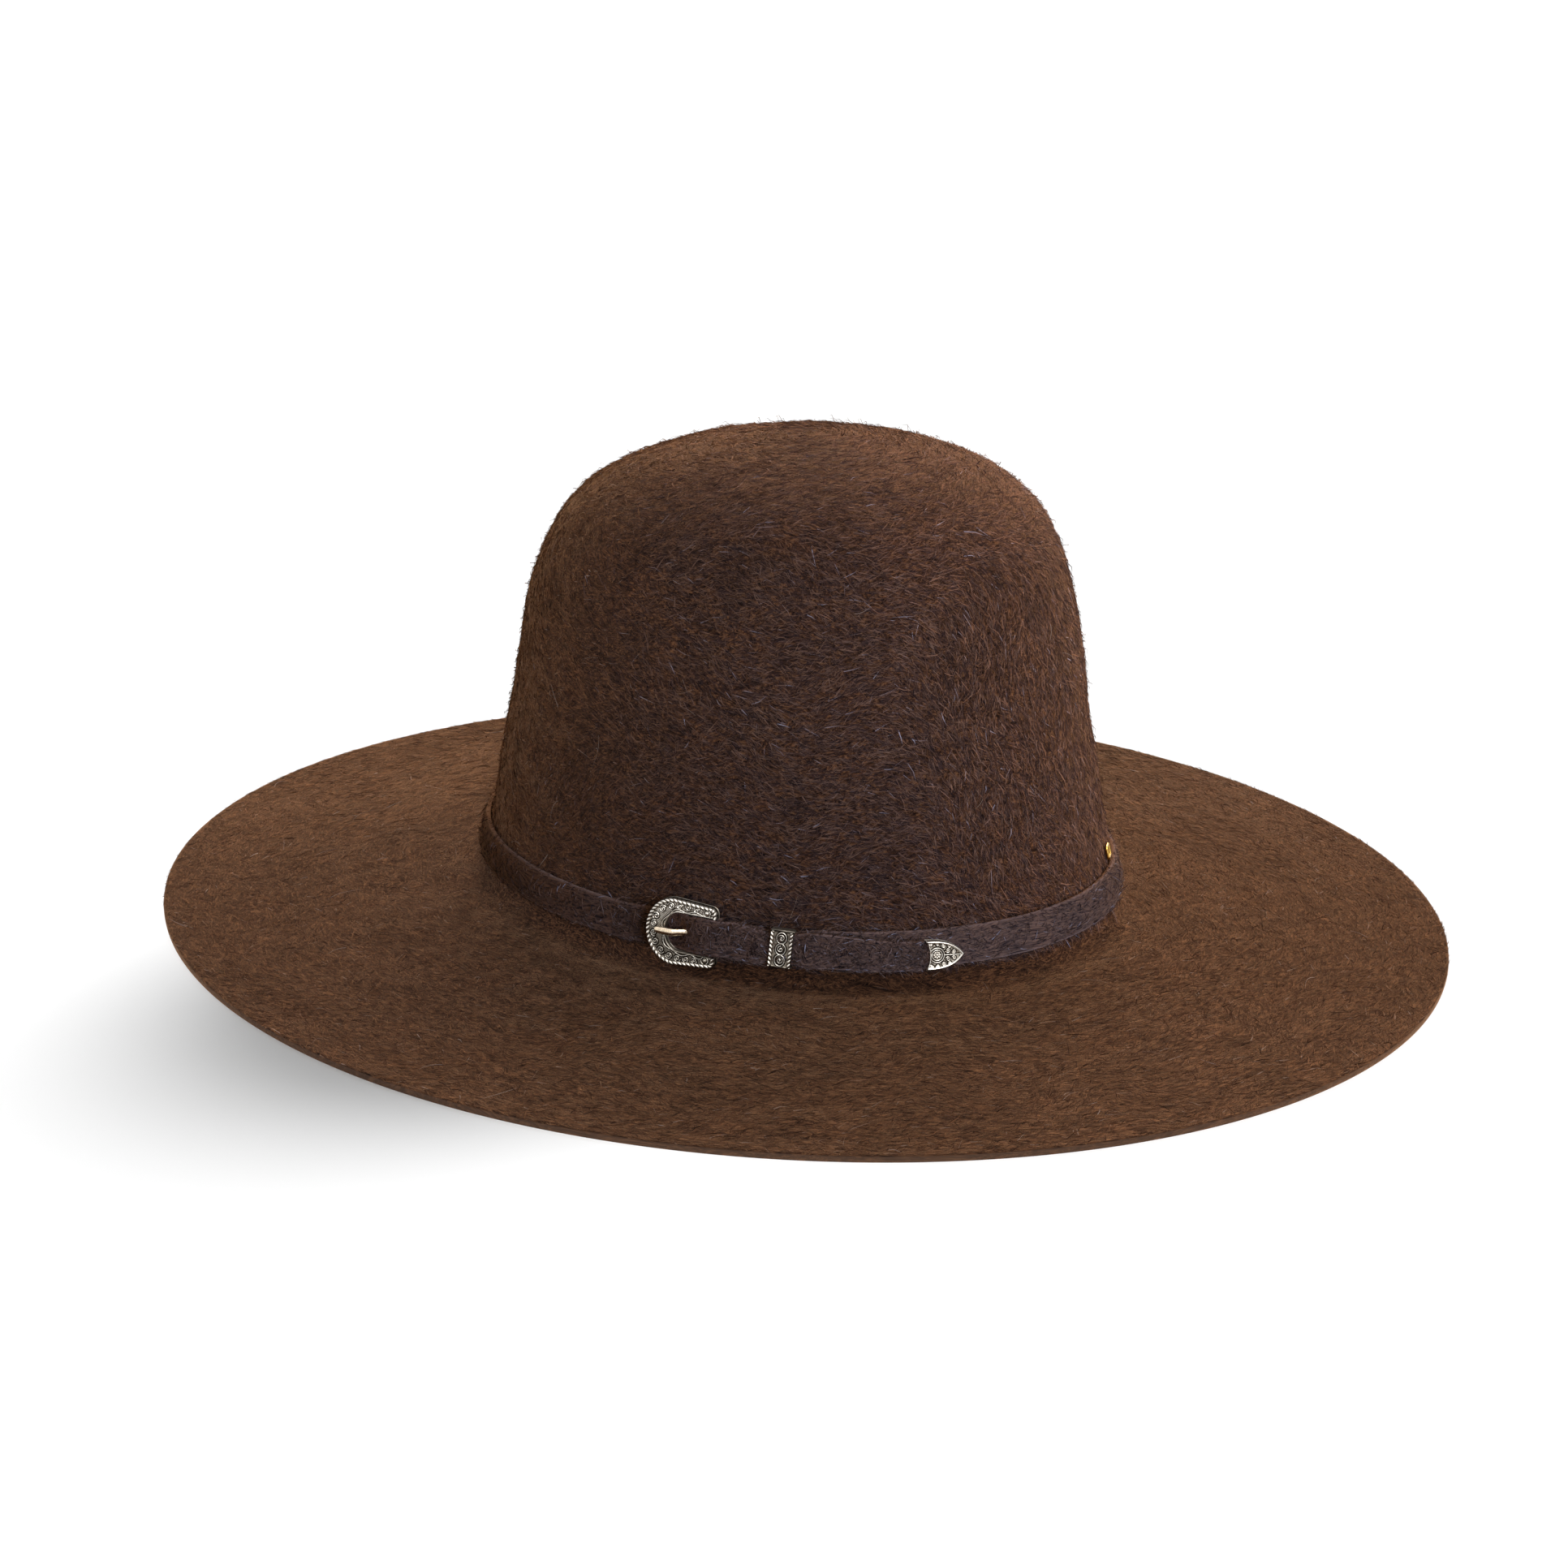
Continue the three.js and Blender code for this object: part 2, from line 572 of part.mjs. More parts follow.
function sidePin() {
  const shape = roundedRectangle(new THREE.Shape(), PIN_LENGTH, PIN_HEIGHT, PIN_CORNER);
  const window = [PIN_LENGTH, PIN_HEIGHT].map((side) => side - 2 * PIN_BORDER);
  shape.holes.push(roundedRectangle(new THREE.Path(), ...window, PIN_CORNER / 2));
  const settings = { depth: PIN_THICK, bevelEnabled: false, curveSegments: CORNER_STEPS };
  return new THREE.ExtrudeGeometry(shape, settings).translate(0, 0, GAP);
}

function pinPlace() {
  const low = STRAP_LOW + STRAP_WIDTH + PIN_ABOVE_STRAP;
  const turn = THREE.MathUtils.degToRad(PIN_TURN);
  const [foot, middle, head] = [low, low + PIN_HEIGHT / 2, low + PIN_HEIGHT].map(wallOvalAt);
  return { origin: ovalPoint(middle, turn), ...wallAxes(turn, foot, head) };
}

// Materials
const felt = () => new THREE.MeshStandardMaterial({ color: 0x4a3328, roughness: 0.95, metalness: 0 });
const strapFelt = () => new THREE.MeshStandardMaterial({ color: 0x3f2d28, roughness: 0.95, metalness: 0 });
const silver = () => new THREE.MeshStandardMaterial({ color: 0xa8a39a, roughness: 0.38, metalness: 1 });
const brass = () => new THREE.MeshStandardMaterial({ color: 0xd9b987, roughness: 0.25, metalness: 1 });
const gold = () => new THREE.MeshStandardMaterial({ color: 0xd4a24c, roughness: 0.25, metalness: 1 });

const buckle = strapPlace(0, BUCKLE_RAISE);
const hat = new THREE.Group();
hat.add(
  named('hat_body', feltBody(), felt()),
  named('band_strap', geometryOf(strapSolid(buckle)), strapFelt()),
  placedOn(buckle, 'buckle_frame', geometryOf(buckleFrame()), silver()),
  placedOn(buckle, 'buckle_tongue', geometryOf(tongue()), brass()),
  placedOn(strapPlace(KEEPER_AT), 'buckle_keeper', keeper(), silver()),
  placedOn(strapPlace(TIP_AT, -STRAP_DROOP), 'strap_tip', geometryOf(strapTip()), silver()),
  placedOn(pinPlace(), 'side_pin', sidePin(), gold()),
);

export default hat;
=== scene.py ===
"""Looks of the open-crown felt hat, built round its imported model. Run as a script in Blender."""
import math

import bpy
import numpy as np
from mathutils import Matrix, Vector, noise


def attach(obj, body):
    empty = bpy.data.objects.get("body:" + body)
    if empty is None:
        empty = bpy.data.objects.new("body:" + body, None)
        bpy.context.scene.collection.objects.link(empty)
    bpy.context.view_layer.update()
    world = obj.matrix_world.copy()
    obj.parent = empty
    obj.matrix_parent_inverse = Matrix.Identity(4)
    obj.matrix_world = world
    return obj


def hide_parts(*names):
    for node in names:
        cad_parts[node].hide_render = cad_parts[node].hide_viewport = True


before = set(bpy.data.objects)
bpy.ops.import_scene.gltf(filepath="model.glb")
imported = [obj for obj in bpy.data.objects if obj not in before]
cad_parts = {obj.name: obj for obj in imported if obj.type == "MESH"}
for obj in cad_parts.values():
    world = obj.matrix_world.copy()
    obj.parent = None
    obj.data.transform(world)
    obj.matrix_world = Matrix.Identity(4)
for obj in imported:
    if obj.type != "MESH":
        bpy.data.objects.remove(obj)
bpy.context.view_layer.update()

bl_info = {
    "name": "Open-crown felt hat",
    "version": (1, 0, 0),
    "blender": (4, 5, 0),
    "location": "3D View > Sidebar > Felt Hat",
    "description": "Builds a long-haired fur felt hat with its strap hatband, cast buckle set and side pin",
    "category": "Add Mesh",
}

MM = 0.001
SEED = 41

# Crown sections from foot to apex: shares of the crown's height and of its oval's girth
CROWN_SECTIONS = np.array([
    (0, 1), (0.1, 0.973), (0.25, 0.945), (0.4, 0.917), (0.55, 0.891), (0.68, 0.857), (0.78, 0.808),
    (0.86, 0.731), (0.92, 0.602), (0.965, 0.42), (0.991, 0.2), (1, 0),
])
# Brim sections from the break to the flat rim: shares of the sloping width and of the drop
BRIM_SECTIONS = np.array([(0, 0), (0.16, 0.16), (0.4, 0.45), (0.7, 0.8), (1, 1)])
CROWN_LEAN = 2.0
CROWN_ROUNDING = 0.12
# How far the hairs may pass the brim's edge, as a share of its oval
EDGE_FUZZ = 1.002
# Share of the light on a hair that shines through it
HAIR_GLOW = 0.03
# Direction of the photo's camera, counter-clockwise from +X, from which the nap's sweep is measured
NAP_TURN = math.radians(34.8)
# Unevenness of the hand-blocked felt: size of a lump and its height, in mm
FINE_LUMP, BROAD_LUMP = (5, 0.26), (19, 0.42)
# Rows of points down the crown and out over the brim, and columns round the hat
BODY_GRID = (96, 72, 320)
NAP_GRID = (72, 48, 240)
BEND_STEPS = 8
RIM_STEPS = 8
INSIDE_STEP = 4
# How far the rows crowd together towards the apex: 1 is evenly spaced
APEX_EASE = 1.15
# Rows over which the brim's slope is smoothed
SMOOTHING = 9
# The cut edge: places down it as shares of its thickness, and how far it bulges there, in mm
RIM_EDGE = ((0.12, 0.05), (0.35, 0.12), (0.65, 0.12), (0.88, 0.05))
# Shares of the pale core's colour that the cut edges of brim and strap show; the strap's larger share and
# paler edge colour also paint a highlight on its edges
RIM_CUT, STRAP_CUT_AND_HIGHLIGHT = 0.55, 0.75
# Radius in mm of the circle that the nap's streaks run round, pressed to about half the crown's
NAP_RADIUS = 46
# Squareness of the strap's section over its width and its thickness: 1 is an oval, 0 a box
SECTION_WIDE, SECTION_THICK, SECTION_POINTS = 0.35, 0.5, 32
# Distances in mm between sections of the strap's lower layer, of its far side and of its upper layer
LOWER_STEP, FAR_STEP, UPPER_STEP = 0.7, 1.6, 0.5
# Unevenness of the strap: size and height, in mm
STRAP_LUMP = (2.6, 0.09)
# Hole for the tongue: its middle along the strap, half length and half width in mm, share of its depth
HOLE_AT, HOLE_LONG, HOLE_WIDE, HOLE_DEPTH = -0.4, 2.0, 1.25, 0.75
# The strap's sewn end round the bar, in mm: places up the bar, width and thickness of its two strips
EYE_AT, EYE_WIDE, EYE_THICK = (-3.0, 3.0), 1.6, 0.6

# Hairs: spread of lengths, share of them that stands well off the felt, and how much further
LENGTH_SPREAD, PROUD_SHARE, PROUD_LIFT = 0.35, 0.05, 2.6
# Least height over the skin and over the ground in mm, and how far a hair bows over, in radians
SKIN_CLEARANCE, GROUND_CLEARANCE, BOW = 0.03, 0.05, 2.4

# Places along the strap in mm, from the middle of the buckle, counter-clockwise seen from above
BUCKLE_TURN = math.radians(11.7)
BAR_AT = 8.0
KEEPER_AT = 28.8
TIP_AT = 67.8
PIN_TURN = math.radians(110)

# Heights off the crown wall and clearances, in mm
GAP = 0.3
SMALL_GAP = 0.25
EYE_RADIUS = 1.4
BAR_RADIUS = 0.55
PINCH = 0.63
PINCH_RAMP = 3.5
BUCKLE_RAISE = 1.0
STRAP_DROOP = 1.6

# Buckle frame in mm: length, height, height at the arms' ends, opening, width of its closed side
FRAME_LENGTH, FRAME_HEIGHT, FRAME_END_HEIGHT, FRAME_OPENING, FRAME_SIDE = 22.2, 19.6, 18.0, 11.0, 6.0
FRAME_BEND, FRAME_INNER_BEND, FRAME_CORNER, FRAME_THICK = 9.0, 4.4, 2.2, 2.0
# The bar's half length and the heights of its two hidden lugs, in mm
BAR_HALF, LUGS = 7, ((5.85, 7.35), (-7.35, -5.85))
# Tongue in mm: width and thickness of its blade; radius, width and thickness of its collar on the bar
TONGUE_WIDE, TONGUE_THICK, COLLAR_RADIUS, COLLAR_WIDE, COLLAR_THICK = 2.1, 1.45, 1.1, 1.7, 0.6
# Keeper in mm: length, thickness of its wall and its slant; share of its width that the strap keeps in it
KEEPER_LENGTH, KEEPER_WALL, KEEPER_SLANT, PINCHED_WIDTH = 6.7, 0.5, math.radians(4), 0.82
# Strap tip in mm: length, height, thickness, wall, depth and half height of its socket, dish of its end
TIP_LENGTH, TIP_HEIGHT, TIP_THICK, TIP_WALL = 11.0, 8.4, 2.6, 0.6
SOCKET_DEPTH, SOCKET_HALF, TIP_DISH, STRAP_END_THICK = 5.0, 0.7, 1.0, 0.6
# Middle of the tip's medallion, in mm from the tip's open end
MEDALLION_AT = 3.2
# Side pin in mm: half length and half height of the corners' middles, their radius, the wire's radius
PIN_LONG, PIN_TALL, PIN_CORNER, PIN_WIRE, PIN_HEIGHT = 1.45, 1.15, 0.55, 0.5, 4.4
# Brightness of the casting's plain sides, from 0 for blackened to 1 for polished
PLAIN_SIDE, TIP_SIDE = 0.35, 0.4


# Small tools

def linear(text):
    """Linear RGBA of an sRGB hex colour such as 4A3328."""
    shares = [int(text[i:i + 2], 16) / 255 for i in (0, 2, 4)]
    return [s / 12.92 if s <= 0.04045 else ((s + 0.055) / 1.055) ** 2.4 for s in shares] + [1.0]


def shown(text):
    """The same colour as a property's default, which Blender keeps in linear RGB."""
    return linear(text)[:3]


def rgba(colour, gain=1.0):
    return [min(1.0, c * gain) for c in colour] + [1.0]


def set_inputs(tree, node, inputs):
    """Sets a node's inputs; each is a value or another node's output."""
    for name, value in inputs.items():
        socket = node.inputs[name]
        if isinstance(value, bpy.types.NodeSocket):
            tree.links.new(value, socket)
        else:
            socket.default_value = value


def add_node(tree, kind, inputs=None, stops=(), **settings):
    """Adds a node with its settings, its inputs and the stops of its colour ramp."""
    node = tree.nodes.new(kind)
    for name, value in settings.items():
        setattr(node, name, value)
    set_inputs(tree, node, inputs or {})
    if stops:
        elements = node.color_ramp.elements
        while len(elements) < len(stops):
            elements.new(0.5)
        for element, (place, colour) in zip(elements, stops):
            element.position = place
            element.color = colour
    return node


def start_material(name):
    """A material with an empty node tree, its Principled shader and its output."""
    material = bpy.data.materials.new(name)
    material.use_nodes = True
    tree = material.node_tree
    tree.nodes.clear()
    shader = add_node(tree, "ShaderNodeBsdfPrincipled")
    add_node(tree, "ShaderNodeOutputMaterial", {"Surface": shader.outputs[0]})
    return material, tree, shader


def object_noise(tree, size, detail, roughness=0.5):
    """Noise fixed to the object, with features of about that size in mm."""
    place = add_node(tree, "ShaderNodeTexCoord").outputs["Object"]
    return add_node(tree, "ShaderNodeTexNoise", {"Vector": place, "Scale": 1 / (size * MM),
                                                 "Detail": detail, "Roughness": roughness}).outputs["Fac"]


def lerp(a, b, share):
    return a + (b - a) * share


def smoothstep(x, low, high):
    share = np.clip((x - low) / (high - low), 0, 1)
    return share * share * (3 - 2 * share)


def unit(vectors):
    return vectors / np.maximum(np.linalg.norm(vectors, axis=-1, keepdims=True), 1e-12)


def noise_at(points, size, seed):
    """Smooth noise from -1 to 1 at each point, with features of about that size in mm."""
    shift = Vector((seed * 17.3, seed * 5.1, seed * 9.7))
    return np.array([noise.noise(Vector(p) / size + shift) for p in points.reshape(-1, 3)])


def make_piece(name, points, faces, material, slot, attributes=None):
    """A mesh piece from points in mm, riding on the hat."""
    mesh = bpy.data.meshes.new(name)
    mesh.from_pydata((np.asarray(points) * MM).tolist(), [], faces)
    mesh.polygons.foreach_set("use_smooth", [True] * len(mesh.polygons))
    for key, values in (attributes or {}).items():
        kind, field = ("FLOAT", "value") if values.ndim == 1 else ("FLOAT_VECTOR", "vector")
        made = mesh.attributes.new(key, kind, "POINT")
        made.data.foreach_set(field, values.astype(np.float32).ravel())
    mesh.materials.append(material)
    mesh.validate()
    piece = bpy.data.objects.new(name, mesh)
    bpy.context.scene.collection.objects.link(piece)
    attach(piece, "root")
    return piece


def grid_faces(rows, columns, around=False):
    """Quads of a grid of rows by columns points; around joins the last column to the first."""
    count = columns if around else columns - 1
    row, column = np.meshgrid(np.arange(rows - 1), np.arange(count), indexing="ij")
    after = (column + 1) % columns
    quads = np.stack([row * columns + column, (row + 1) * columns + column,
                      (row + 1) * columns + after, row * columns + after], -1)
    return quads.reshape(-1, 4).tolist()


def closed_faces(rows, columns):
    """Faces of a row of rings, closed at each end by a middle point; the two points follow the rings."""
    faces = grid_faces(rows, columns, around=True)
    first, end = rows * columns, (rows - 1) * columns
    for i in range(columns):
        j = (i + 1) % columns
        faces += [[first, i, j], [first + 1, end + j, end + i]]
    return faces


# Shape of the felt

def catmull(points, place):
    """Uniform Catmull-Rom spline through points, at places from 0 to len(points) - 1."""
    last = len(points) - 1
    base = np.clip(np.floor(place).astype(int), 0, last - 1)
    t = (place - base)[:, None]
    p0, p1 = points[np.maximum(base - 1, 0)], points[base]
    p2, p3 = points[base + 1], points[np.minimum(base + 2, last)]
    v0, v1 = (p2 - p0) / 2, (p3 - p1) / 2
    return (2 * p1 - 2 * p2 + v0 + v1) * t ** 3 + (-3 * p1 + 3 * p2 - 2 * v0 - v1) * t ** 2 + v0 * t + p1


def in_mm(length):
    return length / MM


def body_sizes():
    """Sizes of the felt body in mm, worked out once from the user's properties."""
    p = bpy.context.scene.felt_hat
    felt, drop, bend = in_mm(p.felt), in_mm(p.brim_drop), in_mm(p.brim_break)
    return {
        "width": in_mm(p.crown_width) / 2, "length": in_mm(p.crown_length) / 2, "felt": felt,
        "brim": in_mm(p.brim_width), "drop": drop, "bend": bend, "land": in_mm(p.rim_land),
        "brim_top": felt + drop, "foot": felt + drop + bend, "rise": in_mm(p.crown_height) - bend,
    }


def crown_oval(s, height, girth):
    """Half width, half length, shift to the back and height of the crown's oval."""
    height, girth = np.asarray(height, float), np.asarray(girth, float)
    return np.stack([
        s["width"] * girth * (1 + CROWN_ROUNDING * height),
        s["length"] * girth * (1 - CROWN_ROUNDING * height),
        CROWN_LEAN * height ** 2,
        s["foot"] + s["rise"] * height,
    ], -1)


def wall_oval(s, z):
    share = (z - s["foot"]) / s["rise"]
    return crown_oval(s, share, np.interp(share, CROWN_SECTIONS[:, 0], CROWN_SECTIONS[:, 1]))


def oval_points(ovals, turns):
    """Points of each oval at each turn: an array of ovals by turns by 3."""
    cos, sin = np.cos(turns)[None], np.sin(turns)[None]
    wide, long, back, z = (ovals[:, i][:, None] for i in range(4))
    return np.stack([wide * cos, back + long * sin, np.broadcast_to(z, (len(ovals), len(turns)))], -1)


def outer_ovals(s, crown_steps, brim_steps):
    """Ovals down the outer skin, from just beside the apex to the rim's upper edge."""
    table = np.concatenate([CROWN_SECTIONS[:, ::-1], CROWN_SECTIONS[[-2, -3]][:, ::-1] * (-1, 1)])
    place = (len(CROWN_SECTIONS) - 1) * (1 - np.linspace(0, 1, crown_steps + 1)[1:] ** APEX_EASE)
    girth, height = catmull(table, place).T
    crown = crown_oval(s, height, girth)
    angle = np.linspace(0, math.pi / 2, BEND_STEPS + 1)[1:]
    slope = s["brim"] - s["bend"] - s["land"]
    out = np.linspace(0, 1, brim_steps + 1)[1:]
    drop = np.interp(out, BRIM_SECTIONS[:, 0], BRIM_SECTIONS[:, 1])
    drop = np.convolve(np.pad(drop, SMOOTHING // 2, mode="edge"), np.ones(SMOOTHING) / SMOOTHING, "valid")
    drop[-1] = 1
    offsets = np.concatenate([s["bend"] * (1 - np.cos(angle)), s["bend"] + slope * out,
                              s["brim"] - s["land"] * (1 - np.linspace(0, 1, RIM_STEPS + 1)[1:])])
    heights = np.concatenate([s["brim_top"] + s["bend"] * (1 - np.sin(angle)),
                              s["brim_top"] - s["drop"] * drop, np.full(RIM_STEPS, s["felt"])])
    brim = np.stack([s["width"] + offsets, s["length"] + offsets, 0 * offsets, heights], -1)
    return crown, brim


def felt_skin(s, crown_steps, brim_steps, columns):
    """The felt's outer skin with its lumps, the smooth skin under it, its normals and its crown's rows."""
    turns = np.linspace(0, 2 * math.pi, columns, endpoint=False)
    crown, brim = outer_ovals(s, crown_steps, brim_steps)
    smooth = oval_points(np.concatenate([crown, brim]), turns)
    normals = skin_normals(smooth)
    lumps = sum(high * noise_at(smooth, size, seed)
                for seed, (size, high) in enumerate((FINE_LUMP, BROAD_LUMP), 1))
    # The flat rim keeps a fifth of them, so that its edge stays even
    share = 0.2 + 0.8 * smoothstep(smooth[..., 2].ravel(), s["felt"] + 0.2, s["felt"] + 3)
    skin = smooth + normals * (lumps * share).reshape(smooth.shape[:2] + (1,))
    return skin, smooth, normals, len(crown)


def skin_normals(points):
    """Outward normals of rings of points, worked out from their neighbours."""
    down = np.gradient(points, axis=0)
    side = np.roll(points, -1, 1) - np.roll(points, 1, 1)
    return unit(np.cross(down, side))


# Felt fibres

def scatter(points, count, rng):
    """Random places on a closed band of rings: points, normals and headings round the hat."""
    a, b = points[:-1], np.roll(points, -1, 1)[:-1]
    c, d = points[1:], np.roll(points, -1, 1)[1:]
    area = np.linalg.norm(np.cross(c - a, b - a), axis=-1).ravel()
    picked = rng.choice(len(area), count, p=area / area.sum())
    u, v = rng.random((2, count, 1))
    corner = [q.reshape(-1, 3)[picked] for q in (a, b, c, d)]
    place = lerp(lerp(corner[0], corner[1], u), lerp(corner[2], corner[3], u), v)
    around = unit(lerp(corner[1] - corner[0], corner[3] - corner[2], v))
    down = unit(lerp(corner[2] - corner[0], corner[3] - corner[1], u))
    normal = unit(np.cross(down, around))
    return place, normal, around, np.cross(around, normal)


def crown_heading(place):
    """How far the crown's nap turns from running round the hat: down the wall on the side towards the
    back, which is the photo's right, and round it elsewhere and near the top."""
    turn = np.arctan2(place[:, 1], place[:, 0]) - NAP_TURN
    down = smoothstep(np.sin(turn), 0.05, 0.75) * smoothstep(-place[:, 2], -135, -105)
    return math.pi / 2 * down + 0.9 * noise_at(place, 34, 7) + 0.4 * noise_at(place, 9, 8)


def brim_heading(place):
    """How far the brim's nap turns from running round the hat."""
    return 1.2 * noise_at(place, 30, 7) + 0.7 * noise_at(place, 8, 8)


def turned_from(first, second, angle):
    """Directions at angles from the first of two axes towards the second."""
    return unit(first * np.cos(angle)[:, None] + second * np.sin(angle)[:, None])


def fibres(places, heading, normal, rng, length, width, lift, roll, steps, bend):
    """Thin tapering strips that lie on the felt. Gives points, faces and a shade for each point."""
    count = len(places)
    t = np.linspace(0, 1, steps + 1)
    long = (length * rng.lognormal(0, LENGTH_SPREAD, count))[:, None, None]
    side = np.cross(normal, heading)
    tilt = rng.normal(0, roll, count)[:, None]
    across = unit(side * np.cos(tilt) + normal * np.sin(tilt))
    sway = rng.normal(0, bend, (count, 1, 1))
    rise = np.abs(rng.normal(0, lift, (count, 1, 1)))
    rise = rise * np.where(rng.random((count, 1, 1)) < PROUD_SHARE, PROUD_LIFT, 1) + SKIN_CLEARANCE
    line = (places[:, None] + heading[:, None] * long * t[None, :, None]
            + side[:, None] * long * sway * t[None, :, None] ** 2
            + normal[:, None] * rise * np.sin(t * BOW)[None, :, None])
    half = (width * rng.uniform(0.6, 1.3, (count, 1, 1))) / 2 * (1 - t[None, :-1, None]) ** 0.5
    pairs = np.stack([line[:, :-1] - across[:, None] * half, line[:, :-1] + across[:, None] * half], 2)
    points = np.concatenate([pairs.reshape(count, -1, 3), line[:, -1:]], 1)
    each = 2 * steps + 1
    base = (np.arange(count) * each)[:, None]
    quads = [(base + np.array([2 * i, 2 * i + 1, 2 * i + 3, 2 * i + 2])).tolist() for i in range(steps - 1)]
    tips = (base + np.array([2 * steps - 2, 2 * steps - 1, 2 * steps])).tolist()
    shade = np.repeat(rng.random(count), each)
    return points.reshape(-1, 3), sum(quads, []) + tips, shade


def trimmed(points, s):
    """Hairs cut off at the brim's edge, apart from a slight fuzz, and kept off the ground."""
    past = np.hypot(points[:, 0] / (s["width"] + s["brim"]), points[:, 1] / (s["length"] + s["brim"]))
    level = points[:, :2] / np.maximum(past / EDGE_FUZZ, 1)[:, None]
    return np.concatenate([level, np.maximum(points[:, 2:], GROUND_CLEARANCE)], 1)


# Materials

def fur_felt(name, dark, middle, light, core_and_edge_highlight, sheen_tint, streak=0.75, sheen=0.82):
    """Fur felt pounced to a fine nap, so it is matt and mottled, and catches light at its edges."""
    material, tree, shader = start_material(name)
    # nap holds a coordinate in mm that is pressed together round the hat, so its noise runs in streaks
    nap = add_node(tree, "ShaderNodeAttribute", attribute_name="nap").outputs["Vector"]
    warp = add_node(tree, "ShaderNodeTexNoise", {"Vector": nap, "Scale": 1 / 14, "Detail": 2.0})
    moved = add_node(tree, "ShaderNodeVectorMath", {0: warp.outputs["Color"], 1: (0.5, 0.5, 0.5)},
                     operation="SUBTRACT")
    scaled = add_node(tree, "ShaderNodeVectorMath", {0: moved.outputs[0], "Scale": 16.0}, operation="SCALE")
    turned = add_node(tree, "ShaderNodeVectorMath", {0: nap, 1: scaled.outputs[0]}, operation="ADD")
    # Fibres are about 0.03 mm thick; locks of them show at 0.5 to 0.8 mm
    fine = add_node(tree, "ShaderNodeTexNoise", {"Vector": turned.outputs[0], "Scale": 1 / streak,
                                                 "Detail": 3.0, "Roughness": 0.7}).outputs["Fac"]
    ramp = add_node(tree, "ShaderNodeValToRGB", {"Fac": fine},
                    stops=[(0.34, dark), (0.5, middle), (0.66, light)])
    # Patches of 13 mm are a little cooler and darker, or warmer and lighter
    tint = add_node(tree, "ShaderNodeValToRGB", {"Fac": object_noise(tree, 13, 3.0, 0.55)},
                    stops=[(0.35, (0.84, 0.86, 0.88, 1)), (0.65, (1.16, 1.09, 1.02, 1))])
    mixed = add_node(tree, "ShaderNodeMix", {0: 1.0, 6: ramp.outputs["Color"], 7: tint.outputs["Color"]},
                     data_type="RGBA", blend_type="MULTIPLY")
    # Dye goes less deep than the nap, so a cut edge is paler and warmer; the strap's edges are paler still,
    # a painted highlight where they catch the light
    cut = add_node(tree, "ShaderNodeAttribute", attribute_name="cut").outputs["Fac"]
    edged = add_node(tree, "ShaderNodeMix", {0: cut, 6: mixed.outputs[2], 7: core_and_edge_highlight}, data_type="RGBA")
    bump = add_node(tree, "ShaderNodeBump", {"Height": fine, "Strength": 0.9, "Distance": 0.4 * MM})
    set_inputs(tree, shader, {"Base Color": edged.outputs[2], "Normal": bump.outputs[0]})
    set_cloth(tree, shader, sheen, sheen_tint)
    return material


def set_cloth(tree, shader, sheen, tint):
    """Matt fibres: hardly any gloss, and a broad soft gleam at a low angle."""
    set_inputs(tree, shader, {"Roughness": 0.95, "IOR": 1.45, "Specular IOR Level": 0.03,
                              "Sheen Weight": sheen, "Sheen Roughness": 0.32, "Sheen Tint": tint})


def fur_fibre(name, stops, sheen_tint, sheen=0.82):
    """Dyed hairs, each of one brown and a few pale; light from behind shines through them at the edges."""
    material, tree, shader = start_material(name)
    shade = add_node(tree, "ShaderNodeAttribute", attribute_name="shade").outputs["Fac"]
    ramp = add_node(tree, "ShaderNodeValToRGB", {"Fac": shade}, stops=stops)
    set_inputs(tree, shader, {"Base Color": ramp.outputs["Color"]})
    set_cloth(tree, shader, sheen, sheen_tint)
    glow = add_node(tree, "ShaderNodeBsdfTranslucent", {"Color": sheen_tint})
    mixed = add_node(tree, "ShaderNodeMixShader", {0: HAIR_GLOW, 1: shader.outputs[0], 2: glow.outputs[0]})
    set_inputs(tree, tree.get_output_node("ALL"), {"Surface": mixed.outputs[0]})
    return material


def antiqued_silver(name, bright, wear_and_top_light, soot):
    """Cast white metal, blackened and polished back: bright relief, dark recesses, soft wear between."""
    material, tree, shader = start_material(name)
    relief = add_node(tree, "ShaderNodeAttribute", attribute_name="relief").outputs["Fac"]
    # Tarnish in patches of 0.9 mm shifts the wear up and down
    shifted = add_node(tree, "ShaderNodeMath", {0: object_noise(tree, 0.9, 4.0), 1: 0.35, 2: -0.17},
                       operation="MULTIPLY_ADD")
    # The relief's brightness holds polish and wear, and on the buckle also the painted top light on its
    # upper arm
    polish_wear_and_top_light = add_node(tree, "ShaderNodeMath", {0: relief, 1: shifted.outputs[0]}, operation="ADD").outputs[0]
    colour = add_node(tree, "ShaderNodeValToRGB", {"Fac": polish_wear_and_top_light},
                      stops=[(0.12, soot), (0.42, wear_and_top_light), (0.75, bright)])
    rough = add_node(tree, "ShaderNodeMapRange", {"Value": polish_wear_and_top_light, "To Min": 0.55, "To Max": 0.2})
    set_inputs(tree, shader, {"Base Color": colour.outputs["Color"], "Roughness": rough.outputs[0],
                              "Metallic": 1.0})
    return material


def polished_metal(name, bright, dull, rough):
    """Polished brass wire: fine polishing marks and a slightly duller tone in patches of 0.7 mm."""
    material, tree, shader = start_material(name)
    marks = object_noise(tree, 0.7, 3.0)
    colour = add_node(tree, "ShaderNodeValToRGB", {"Fac": marks}, stops=[(0.35, dull), (0.6, bright)])
    gloss = add_node(tree, "ShaderNodeMapRange",
                     {"Value": marks, "To Min": rough + 0.1, "To Max": rough - 0.05})
    set_inputs(tree, shader, {"Base Color": colour.outputs["Color"], "Roughness": gloss.outputs[0],
                              "Metallic": 1.0})
    return material


